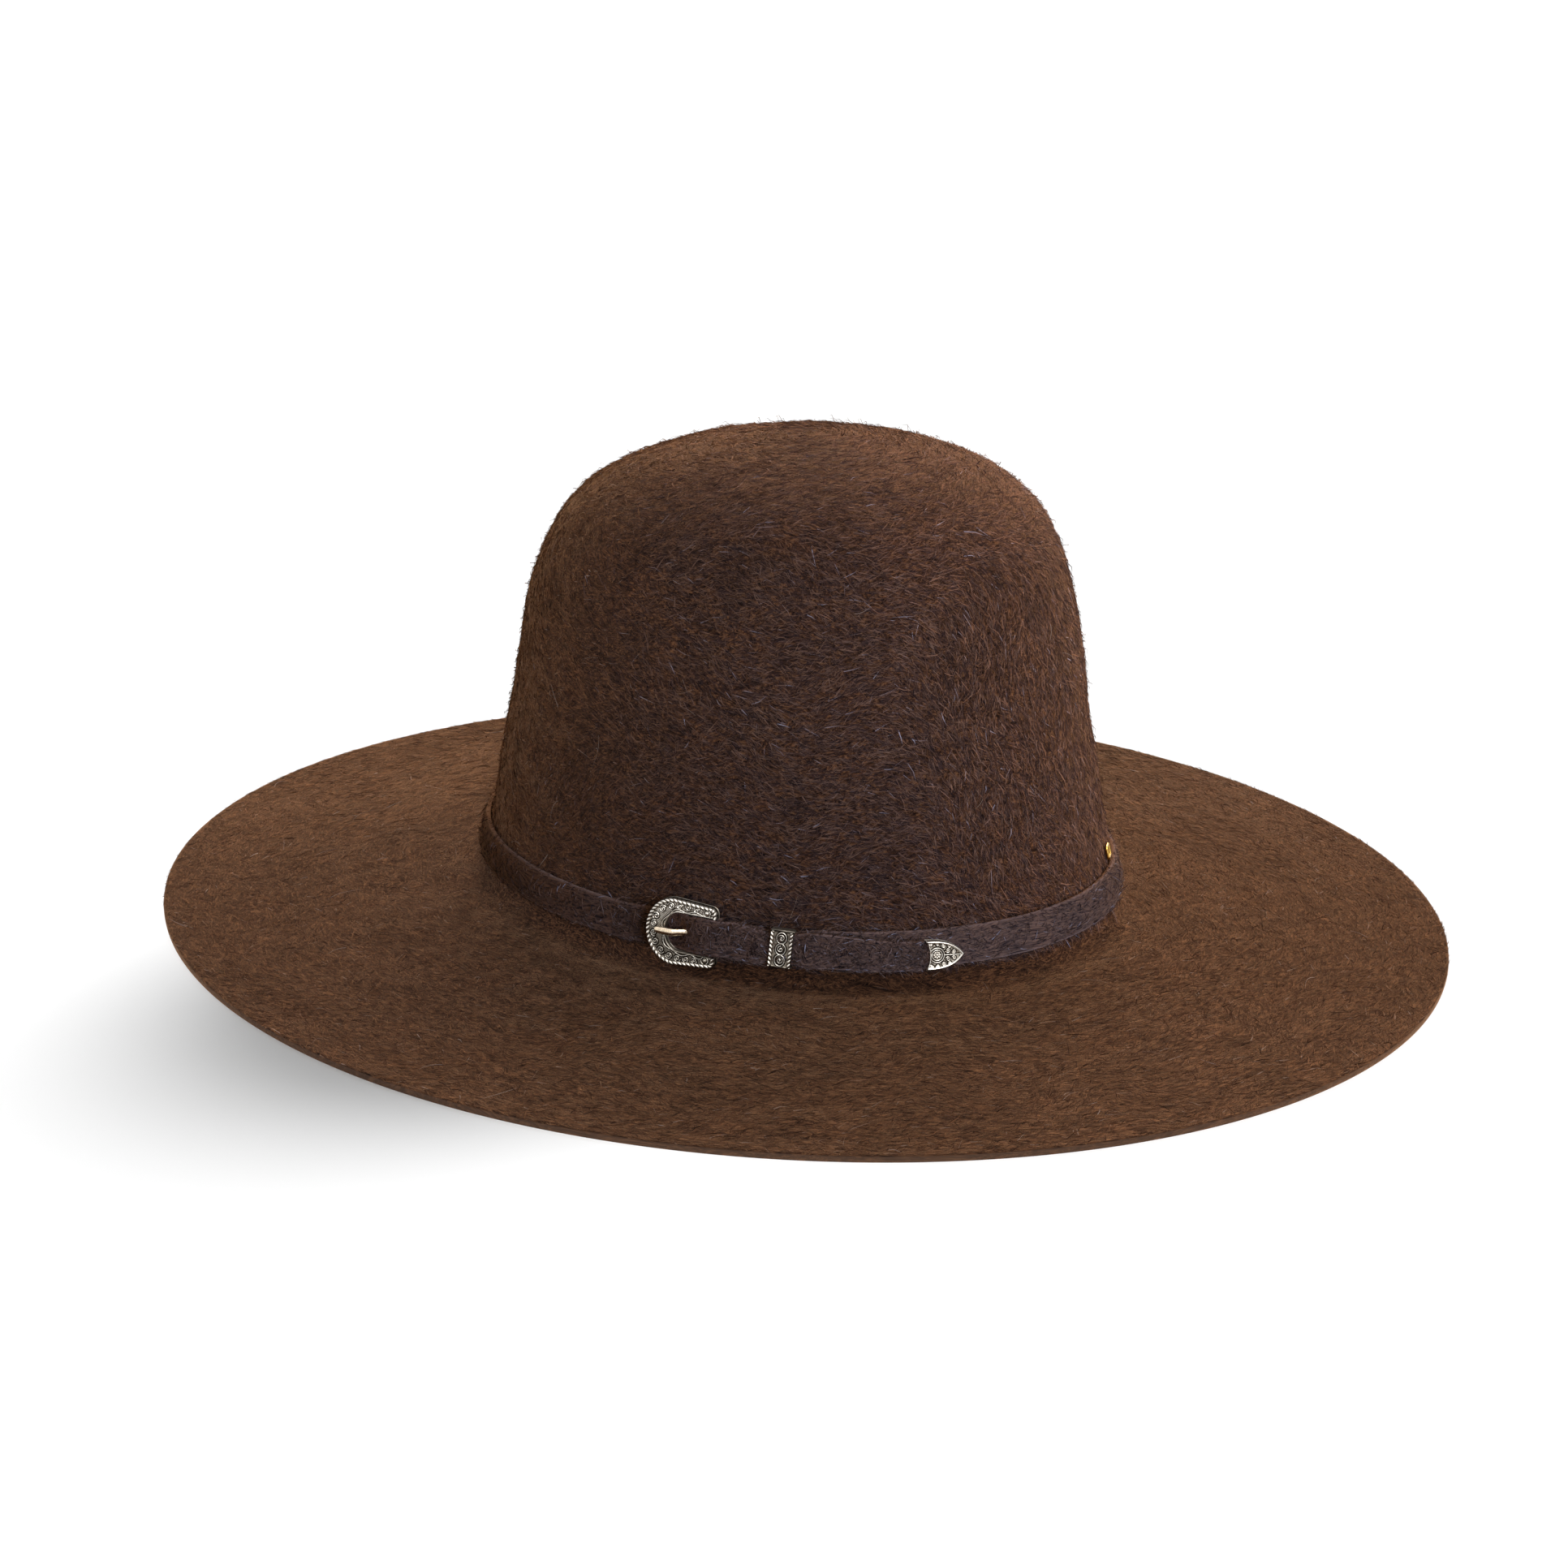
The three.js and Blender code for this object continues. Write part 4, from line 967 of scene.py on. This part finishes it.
class FELTHAT_OT_buckle(bpy.types.Operator):
    """Cast buckle frame: a C with a rope edge, scrollwork, a bead on each arm, and its bar"""
    bl_idname = "felt_hat.buckle"
    bl_label = "Buckle Frame"

    # Middle, radius, starting angle and hand of each scroll on the upper arm
    SCROLLS = [(4.6, 7.3, 0.95, 0.3, 1), (2.0, 7.5, 1.0, 3.4, -1), (-0.7, 7.6, 1.05, 0.2, 1),
               (-3.4, 7.2, 1.1, 3.1, -1), (-6.0, 6.0, 1.15, 0.6, 1), (-7.9, 3.7, 1.15, 4.0, -1),
               (-8.5, 1.4, 1.0, 1.2, 1)]

    def execute(self, context):
        line = StrapLine()
        levels = strap_levels(line)
        inner, outer = frame_lines()
        # Columns run from the outer outline to the inner one
        share = np.linspace(0, 1, 57)[::-1]
        flat = inner[:, None] + (outer - inner)[:, None] * share[None, :, None]
        xy = flat.reshape(-1, 2)
        height, relief = self.relief(xy, inner, outer)
        casting = plate(xy, flat.shape[:2], levels["over"] + FRAME_THICK - 0.55 + height, levels["over"])
        # Two hidden lugs hold the bar under the arms
        beside = (BAR_AT - BAR_RADIUS, BAR_AT + BAR_RADIUS)
        out = (levels["bar"] - BAR_RADIUS, levels["over"] + 1)
        lugs = [block(beside, up, out) for up in LUGS]
        bar_line = np.stack([np.full(9, BAR_AT), np.linspace(-BAR_HALF, BAR_HALF, 9),
                             np.full(9, levels["bar"])], -1)
        bar = tube(bar_line, 2 * BAR_RADIUS, 2 * BAR_RADIUS, (1, 0, 0), 16)
        points, faces = merged(casting, *lugs, bar)
        seat = line.seat(0.0, BUCKLE_RAISE)
        piece = make_casting("buckle_casting", seat(points), faces, relief, PLAIN_SIDE)
        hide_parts("buckle_frame")
        return {"FINISHED"}

    def relief(self, xy, inner, outer):
        """Height and brightness of the frame's front at each place."""
        end = outer[:1] * (1, 0) + inner[:1] * (0, 1)
        edge = np.concatenate([end, outer, end * (1, -1)])
        to_edge, along = nearest_on(xy, edge)
        to_inner, inner_along = nearest_on(xy, inner)
        # A gentle dome, rounded off at both outlines, with a sunken field for the scrolls
        height = 0.28 * np.sin(np.clip(to_inner / (to_inner + to_edge + 1e-9), 0, 1) * math.pi * 0.85)
        height -= 0.45 * (1 - smoothstep(np.minimum(to_edge, to_inner), 0.0, 0.35))
        field = smoothstep(to_edge, 1.15, 1.4) * smoothstep(to_inner, 0.35, 0.6)
        height -= 0.12 * field
        rope, strand = rope_edge(to_edge, along, width=1.25, pitch=1.4, height=0.62)
        # A waved line follows the inner outline
        wave = 0.8 + 0.35 * np.sin(inner_along * 1.15)
        nearest = np.where(to_edge > 1.2, np.abs(to_inner - wave), 9.0)
        scroll_distances(xy, nearest, mirrored(self.SCROLLS), turns=1.6, reach=0.6)
        # A ringed bead near the end of each arm
        bead = np.zeros(len(xy))
        for sign in (1, -1):
            away = np.hypot(xy[:, 0] - 7.9, xy[:, 1] - sign * 6.85)
            nearest = np.where(away < 1.5, np.abs(away - 1.1), nearest)
            bead = np.maximum(bead, ridge(away, width=0.9, height=0.34))
        lines, bright = chased(nearest, width=0.3, height=0.26)
        rim = ridge(to_inner - 0.2, width=0.36, height=0.16)
        stipple = np.sin(xy[:, 0] * 9) * np.sin(xy[:, 1] * 9) * field
        height = height + rope + lines * field + rim + bead + 0.05 * stipple
        # Painted light: the upper arm is made brighter than the lower one, as if lit from above
        wear_and_top_light = 0.3 * smoothstep(xy[:, 1], -4, 7)
        mark = 0.27 + wear_and_top_light + bright * field + 1.3 * rim + 0.9 * bead + 0.1 * stipple
        mark = np.where(to_edge < 1.25, 0.08 + 0.9 * strand, mark)
        return height, np.clip(mark, 0, 1)


class FELTHAT_OT_tongue(bpy.types.Operator):
    """Brass tongue: looped on the bar, up through the strap and over the frame's closed side"""
    bl_idname = "felt_hat.tongue"
    bl_label = "Tongue"

    def execute(self, context):
        p, line = settings(), StrapLine()
        levels = strap_levels(line)
        seat = line.seat(0.0, BUCKLE_RAISE)
        over = levels["over"] + FRAME_THICK + GAP + 0.62
        bar = levels["bar"]
        # Along and out: from the bar, up through the strap's hole, over the frame's closed side
        corners = np.array([(BAR_AT - 1.2, bar), (4.2, bar + 0.15), (1.5, bar + 0.9), (-0.5, over - 1.5),
                            (-2.2, over - 0.15), (-4.5, over), (-6.3, over - 0.02), (-7.7, over - 0.12)])
        course = catmull(corners, np.linspace(0, len(corners) - 1, 60))
        blade = np.stack([course[:, 0], np.zeros(60), course[:, 1]], -1)
        taper = np.interp(np.arange(60), [0, 40, 54, 57, 59], [1, 1, 0.86, 0.7, 0.22])
        ring = arc(BAR_AT, bar, COLLAR_RADIUS, COLLAR_RADIUS, 0, 2 * math.pi, 33)
        collar = np.stack([ring[:, 0], np.zeros(33), ring[:, 1]], -1)
        solid = merged(tube(blade, TONGUE_WIDE, TONGUE_THICK, (0, 1, 0), 18, taper),
                       tube(collar, COLLAR_WIDE, COLLAR_THICK, (0, 1, 0), 12))
        material = polished_metal("drawn_pale_brass", rgba(p.brass), rgba(p.brass, 0.7), 0.2)
        piece = make_piece("tongue_wire", *seat_piece(solid, seat), material, "tongue_brass")
        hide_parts("buckle_tongue")
        return {"FINISHED"}


class FELTHAT_OT_keeper(bpy.types.Operator):
    """Cast keeper loop: rope edges and three scroll medallions one over the other"""
    bl_idname = "felt_hat.keeper"
    bl_label = "Keeper"

    def execute(self, context):
        line = StrapLine()
        levels = strap_levels(line)
        wide, top = KEEPER_LENGTH / 2, levels["keeper_top"]
        half = PINCHED_WIDTH * line.width / 2 + wide * math.tan(KEEPER_SLANT) + SMALL_GAP
        tall = half + KEEPER_WALL
        x, y = np.meshgrid(np.linspace(-wide, wide, 81), np.linspace(-tall, tall, 121), indexing="ij")
        xy = np.stack([x.ravel(), y.ravel()], -1)
        to_side, to_end = wide - np.abs(xy[:, 0]), tall - np.abs(xy[:, 1])
        height = 0.5 - 0.45 * (1 - smoothstep(np.minimum(to_side, to_end), 0, 0.3))
        field = smoothstep(to_side, 1.05, 1.25) * smoothstep(to_end, 0.3, 0.5)
        rope, strand = rope_edge(to_side, xy[:, 1] + 20, width=1.15, pitch=1.2, height=0.55)
        # Three medallions, each a ring round a scroll with a bead in its middle
        nearest = np.full(len(xy), 9.0)
        bead = np.zeros(len(xy))
        for place, middle in enumerate((-3.2, 0.0, 3.2)):
            away = np.hypot(xy[:, 0], (xy[:, 1] - middle) / 1.12)
            scroll = spiral(0, middle, 0.95, 1.3, 0.7 + place, 1 if place % 2 else -1)
            nearest = np.minimum(nearest, np.minimum(np.abs(away - 1.4), nearest_on(xy, scroll)[0]))
            bead = np.maximum(bead, ridge(away, width=0.5, height=0.25))
        lines, bright = chased(nearest, width=0.3, height=0.28)
        height = height - 0.2 * field + rope * smoothstep(to_end, 0, 0.3) + (lines + bead) * field
        mark = np.where(to_side < 1.15, 0.08 + 0.9 * strand, 0.38 + (bright + bead) * field)
        mark = np.clip(mark - 0.3 * (to_end < 0.35), 0, 1)
        wall = [block((-wide, wide), up, (GAP, top + 0.1)) for up in ((-tall, -half), (half, tall))]
        floor = block((-wide, wide), (-tall, tall), (GAP, GAP + KEEPER_WALL))
        points, faces = merged(plate(xy, x.shape, top + height, top), *wall, floor)
        cos, sin = math.cos(-KEEPER_SLANT), math.sin(-KEEPER_SLANT)
        turned = points @ np.array([[cos, sin, 0], [-sin, cos, 0], [0, 0, 1]])
        piece = make_casting("keeper_casting", line.seat(KEEPER_AT)(turned), faces, mark, PLAIN_SIDE)
        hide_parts("buckle_keeper")
        return {"FINISHED"}


class FELTHAT_OT_tip(bpy.types.Operator):
    """Cast strap tip: a pointed shield with a raised rim, a ringed medallion and scrolls on a stem"""
    bl_idname = "felt_hat.tip"
    bl_label = "Strap Tip"

    # Middle, radius, starting angle and hand of each scroll on the upper half
    SCROLLS = [(6.3, 1.25, 0.72, 3.6, 1), (8.0, 0.95, 0.6, 3.6, 1), (5.0, 2.6, 0.62, 0.4, -1),
               (1.5, 3.0, 0.55, 0.2, 1), (3.3, 3.0, 0.5, 2.8, -1), (6.7, 2.4, 0.5, 1.2, -1)]

    def execute(self, context):
        line = StrapLine()
        levels = strap_levels(line)
        long, half = TIP_LENGTH, TIP_HEIGHT / 2
        # A shield: its sides curve to the point, and its open end is dished
        u, v = np.meshgrid(np.linspace(0, 1, 121) ** 0.9, np.linspace(-1, 1, 91), indexing="ij")
        top_x = 2 * u * (1 - u) * long * 0.74 + u ** 2 * long
        top_y = half * (1 - u) ** 2 + 2 * u * (1 - u) * half * 1.1
        x = top_x + TIP_DISH * (1 - v ** 2) * (1 - u) ** 1.6
        y = v * np.maximum(top_y, 0.02)
        grid = np.stack([x, y], -1)
        xy = grid.reshape(-1, 2)
        to_side, _ = nearest_on(xy, np.concatenate([grid[:, -1], grid[::-1, 0]]))
        to_left, _ = nearest_on(xy, grid[0])
        height = 0.1 - 0.5 * (1 - smoothstep(np.minimum(to_side, to_left), 0, 0.28))
        field = smoothstep(to_side, 0.75, 0.95) * smoothstep(to_left, 0.45, 0.6)
        rim = np.maximum(ridge(to_side - 0.45, width=0.62, height=0.42),
                         ridge(to_left - 0.3, width=0.42, height=0.26))
        # A medallion of two rings, eight petals and a bead, with a stem from it to the point
        away = np.hypot(xy[:, 0] - MEDALLION_AT, xy[:, 1])
        angle = np.arctan2(xy[:, 1], xy[:, 0] - MEDALLION_AT)
        nearest = np.minimum(np.abs(away - 2.05), np.abs(away - 1.45))
        stem = np.where((xy[:, 0] > 5.2) & (xy[:, 0] < 9.9), np.abs(xy[:, 1]), 9.0)
        nearest = np.minimum(nearest, stem)
        petals = ridge(away - 0.8, width=0.7, height=0.26) * (0.5 + 0.5 * np.cos(8 * angle))
        bead = np.maximum(petals, ridge(away, width=0.5, height=0.32))
        scroll_distances(xy, nearest, mirrored(self.SCROLLS), turns=1.4, reach=0.5)
        lines, bright = chased(nearest, width=0.3, height=0.28)
        height = height - 0.16 * field + rim + (lines + bead) * field
        mark = np.clip(0.46 + (bright + bead) * field + 1.1 * rim, 0, 1)
        points, faces = plate(xy, x.shape, levels["over"] + TIP_THICK - 0.2 + height, levels["over"])
        seat = line.seat(TIP_AT, -STRAP_DROOP)
        piece = make_casting("tip_casting", seat(points), faces, mark, TIP_SIDE)
        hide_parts("strap_tip")
        return {"FINISHED"}


class FELTHAT_OT_pin(bpy.types.Operator):
    """Side pin: a tiny rounded open frame on the crown wall, over the strap"""
    bl_idname = "felt_hat.pin"
    bl_label = "Side Pin"

    def execute(self, context):
        p, line = settings(), StrapLine()
        s = line.sizes
        foot = s["foot"] + in_mm(p.strap_above_break) + line.width + 0.5
        turn = np.array([PIN_TURN])
        axes = line.axes(turn, wall_oval(s, foot), wall_oval(s, foot + PIN_HEIGHT))
        origin = oval_points(wall_oval(s, foot + PIN_HEIGHT / 2)[None], turn)[0]
        basis = np.stack([a[0] for a in axes])
        quarter = math.pi / 2
        loop = np.concatenate([
            arc(x, y, PIN_CORNER, PIN_CORNER, place * quarter, (place + 1) * quarter, 7)
            for place, (x, y) in enumerate(((PIN_LONG, PIN_TALL), (-PIN_LONG, PIN_TALL),
                                            (-PIN_LONG, -PIN_TALL), (PIN_LONG, -PIN_TALL)))])
        heading = unit(np.roll(loop, -1, 0) - np.roll(loop, 1, 0))
        side = np.stack([heading[:, 1], -heading[:, 0]], -1)
        angle = np.linspace(0, 2 * math.pi, 14, endpoint=False)
        ring_xy = loop[:, None] + side[:, None] * (np.cos(angle) * PIN_WIRE)[None, :, None]
        ring_z = np.broadcast_to(GAP + PIN_WIRE + PIN_WIRE * np.sin(angle), ring_xy.shape[:2])
        local = np.concatenate([ring_xy, ring_z[..., None]], -1)
        rows, columns = local.shape[:2]
        faces = grid_faces(rows, columns, around=True)
        # The last ring joins the first
        last = (rows - 1) * columns
        faces += [[last + i, i, (i + 1) % columns, last + (i + 1) % columns] for i in range(columns)]
        material = polished_metal("gold_plated_brass", rgba(p.gold), rgba(p.gold, 0.65), 0.22)
        points = origin[0] + local.reshape(-1, 3) @ basis
        piece = make_piece("pin_frame", points, faces, material, "pin_gold")
        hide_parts("side_pin")
        return {"FINISHED"}


# Stage

METAL_PIECES = ("buckle_casting", "tongue_wire", "keeper_casting", "tip_casting", "pin_frame")
CROWN_PIECES = ("crown_underfur", "crown_nap")
BRIM_PIECES = ("felt_body", "brim_underfur", "brim_nap", "stray_hairs")
STRAP_PIECES = ("strap_band", "strap_nap")

# White that the camera and polished metal see round the hat, just bright enough to burn out, and the
# grey air that fills the cloth's shadows
STUDIO_WHITE, STUDIO_GREY = (1.1, 1.1, 1.1, 1.0), linear("686868")
# Half of the paper's side, in metres
PAPER_REACH = 14.0

# Camera of the photo: elevation and azimuth of its place, distance in metres, how far its aim is turned
# from the hat's middle, and its lens in mm
CAMERA_ELEVATION, CAMERA_AZIMUTH, CAMERA_DISTANCE = math.radians(20.83), math.radians(124.8), 0.9
CAMERA_YAW, CAMERA_PITCH, CAMERA_ROLL = (math.radians(a) for a in (-0.25, 2.03, 0.75))
CAMERA_LENS = 66.5

# Broad studio lights: name, azimuth and elevation and spread in degrees, strength, tint, what they light
STUDIO_LIGHTS = (
    ("overhead_panel", 270, 80, 80, 0.42, "CCDCFF", "hat"),
    ("paper_key", 259, 38, 18, 4.2, "FFFFFF", "paper"),
    ("paper_fill", 338, 38, 50, 0.65, "FFFFFF", "paper"),
    ("back_panel", 296, 37, 38, 3.3, "FFF0E0", "hat"),
    ("top_card", 215, 66, 60, 0.4, "FFF4E8", "hat"),
    ("right_panel", 226, 18, 34, 3.3, "FFE6D0", "crown"),
    ("right_rim_card", 246, 32, 30, 2.3, "FFDCB8", "crown"),
    ("right_brim_card", 236, 18, 34, 2.5, "FFF4EC", "brim"),
    ("left_back_panel", 2, 14, 24, 1.5, "FFD9B0", "crown"),
    ("left_brim_card", 20, 25, 40, 1.4, "D8E4FF", "brim"),
    ("front_card", 160, 9, 34, 7.4, "8CB2FF", "crown and strap"),
    ("front_brim_card", 138, 20, 50, 1.5, "DCE6FF", "brim"),
    ("metal_card", 150, 50, 40, 2.2, "FFFFFF", "metal"),
)


class FELTHAT_OT_stage(bpy.types.Operator):
    """Studio: white paper floor, soft lights and the camera at the photo's angle"""
    bl_idname = "felt_hat.stage"
    bl_label = "Stage"

    def execute(self, context):
        p, scene = settings(), context.scene
        floor = bpy.data.meshes.new("paper_floor")
        corners = ((-1, -1), (1, -1), (1, 1), (-1, 1))
        floor.from_pydata([(x * PAPER_REACH, y * PAPER_REACH, 0) for x, y in corners], [], [(0, 1, 2, 3)])
        floor.materials.append(studio_paper("white_studio_paper", rgba(p.paper)))
        paper = bpy.data.objects.new("paper_floor", floor)
        scene.collection.objects.link(paper)
        self.camera(scene)
        hat = [item for item in scene.objects if item.type == "MESH" and item != paper]
        parts = {"hat": hat, "paper": [paper]}
        for name, names in (("crown", CROWN_PIECES), ("crown and strap", CROWN_PIECES + STRAP_PIECES),
                            ("brim", BRIM_PIECES), ("metal", METAL_PIECES)):
            parts[name] = [item for item in hat if item.name in names]
        groups = {name: self.lit_group("lit_" + name, items) for name, items in parts.items()}
        for *light, lit in STUDIO_LIGHTS:
            lamp = self.softbox(scene, *light)
            lamp.light_linking.receiver_collection = groups[lit]
            # The crown alone throws the soft shadow: the thin brim draws no line under its edge
            if lit == "paper":
                lamp.light_linking.blocker_collection = groups["crown"]
        world = bpy.data.worlds.new("studio_air")
        scene.world = world
        world.use_nodes = True
        tree = world.node_tree
        tree.nodes.clear()
        # The camera and polished metal see a white studio, and cloth gets only dim grey air
        ray = add_node(tree, "ShaderNodeLightPath").outputs
        seen = add_node(tree, "ShaderNodeMath", {0: ray["Is Camera Ray"], 1: ray["Is Glossy Ray"]},
                        operation="MAXIMUM")
        tone = add_node(tree, "ShaderNodeMix", {0: seen.outputs[0], 6: STUDIO_GREY, 7: STUDIO_WHITE},
                        data_type="RGBA")
        air = add_node(tree, "ShaderNodeBackground", {"Color": tone.outputs[2]})
        add_node(tree, "ShaderNodeOutputWorld", {"Surface": air.outputs[0]})
        scene.view_settings.view_transform = "Standard"
        return {"FINISHED"}

    def lit_group(self, name, items):
        """Things that a light is kept to, as a studio flags its lights off the background."""
        group = bpy.data.collections.new(name)
        for item in items:
            group.objects.link(item)
        return group

    def softbox(self, scene, name, azimuth, elevation, spread, power, tint):
        """A far, broad light, even over the whole floor, placed by azimuth and elevation."""
        light = bpy.data.lights.new(name, "SUN")
        light.angle, light.energy, light.color = math.radians(spread), power, linear(tint)[:3]
        lamp = bpy.data.objects.new(name, light)
        a, e = math.radians(azimuth), math.radians(elevation)
        away = Vector((math.sin(a) * math.cos(e), -math.cos(a) * math.cos(e), math.sin(e)))
        lamp.rotation_mode = "QUATERNION"
        lamp.rotation_quaternion = away.to_track_quat("Z", "Y")
        scene.collection.objects.link(lamp)
        return lamp

    def camera(self, scene):
        """The photo's camera, looking past the hat's middle by its yaw, pitch and roll."""
        cos, sin = math.cos(CAMERA_ELEVATION), math.sin(CAMERA_ELEVATION)
        ahead, right = Vector((0, cos, -sin)), Vector((1, 0, 0))
        ahead = ahead + math.tan(CAMERA_YAW) * right + math.tan(CAMERA_PITCH) * right.cross(ahead)
        ahead.normalize()
        right = ahead.cross(Vector((0, 0, 1))).normalized()
        up = right.cross(ahead)
        across = math.cos(CAMERA_ROLL) * right + math.sin(CAMERA_ROLL) * up
        over = -math.sin(CAMERA_ROLL) * right + math.cos(CAMERA_ROLL) * up
        turn = Matrix.Rotation(CAMERA_AZIMUTH, 4, "Z")
        pose = Matrix((across, over, -ahead)).transposed().to_4x4()
        pose.translation = Vector((0, -CAMERA_DISTANCE * cos, CAMERA_DISTANCE * sin + MM))
        lens = bpy.data.cameras.new("photo_camera")
        lens.lens, lens.sensor_width = CAMERA_LENS, 36.0
        lens.clip_start, lens.clip_end = 0.05, 50.0
        camera = bpy.data.objects.new("photo_camera", lens)
        camera.matrix_world = turn @ pose
        scene.collection.objects.link(camera)
        scene.camera = camera


class FELTHAT_PT_panel(bpy.types.Panel):
    """Sizes, colours and steps of the felt hat"""
    bl_idname = "FELTHAT_PT_panel"
    bl_label = "Felt Hat"
    bl_space_type = "VIEW_3D"
    bl_region_type = "UI"
    bl_category = "Felt Hat"

    def draw(self, context):
        for name in FeltHatSettings.__annotations__:
            self.layout.prop(context.scene.felt_hat, name)
        for step in STEPS:
            self.layout.operator(step.bl_idname)


STEPS = (FELTHAT_OT_body, FELTHAT_OT_nap, FELTHAT_OT_strap, FELTHAT_OT_buckle, FELTHAT_OT_tongue,
         FELTHAT_OT_keeper, FELTHAT_OT_tip, FELTHAT_OT_pin, FELTHAT_OT_stage)


def register():
    for kind in (FeltHatSettings, *STEPS, FELTHAT_PT_panel):
        bpy.utils.register_class(kind)
    bpy.types.Scene.felt_hat = bpy.props.PointerProperty(type=FeltHatSettings)


def unregister():
    del bpy.types.Scene.felt_hat
    for kind in (FELTHAT_PT_panel, *reversed(STEPS), FeltHatSettings):
        bpy.utils.unregister_class(kind)


def main():
    register()
    for step in STEPS:
        group, name = step.bl_idname.split(".")
        if getattr(getattr(bpy.ops, group), name)() != {"FINISHED"}:
            raise RuntimeError(f"{step.bl_label} did not finish")


if __name__ == "__main__":
    main()
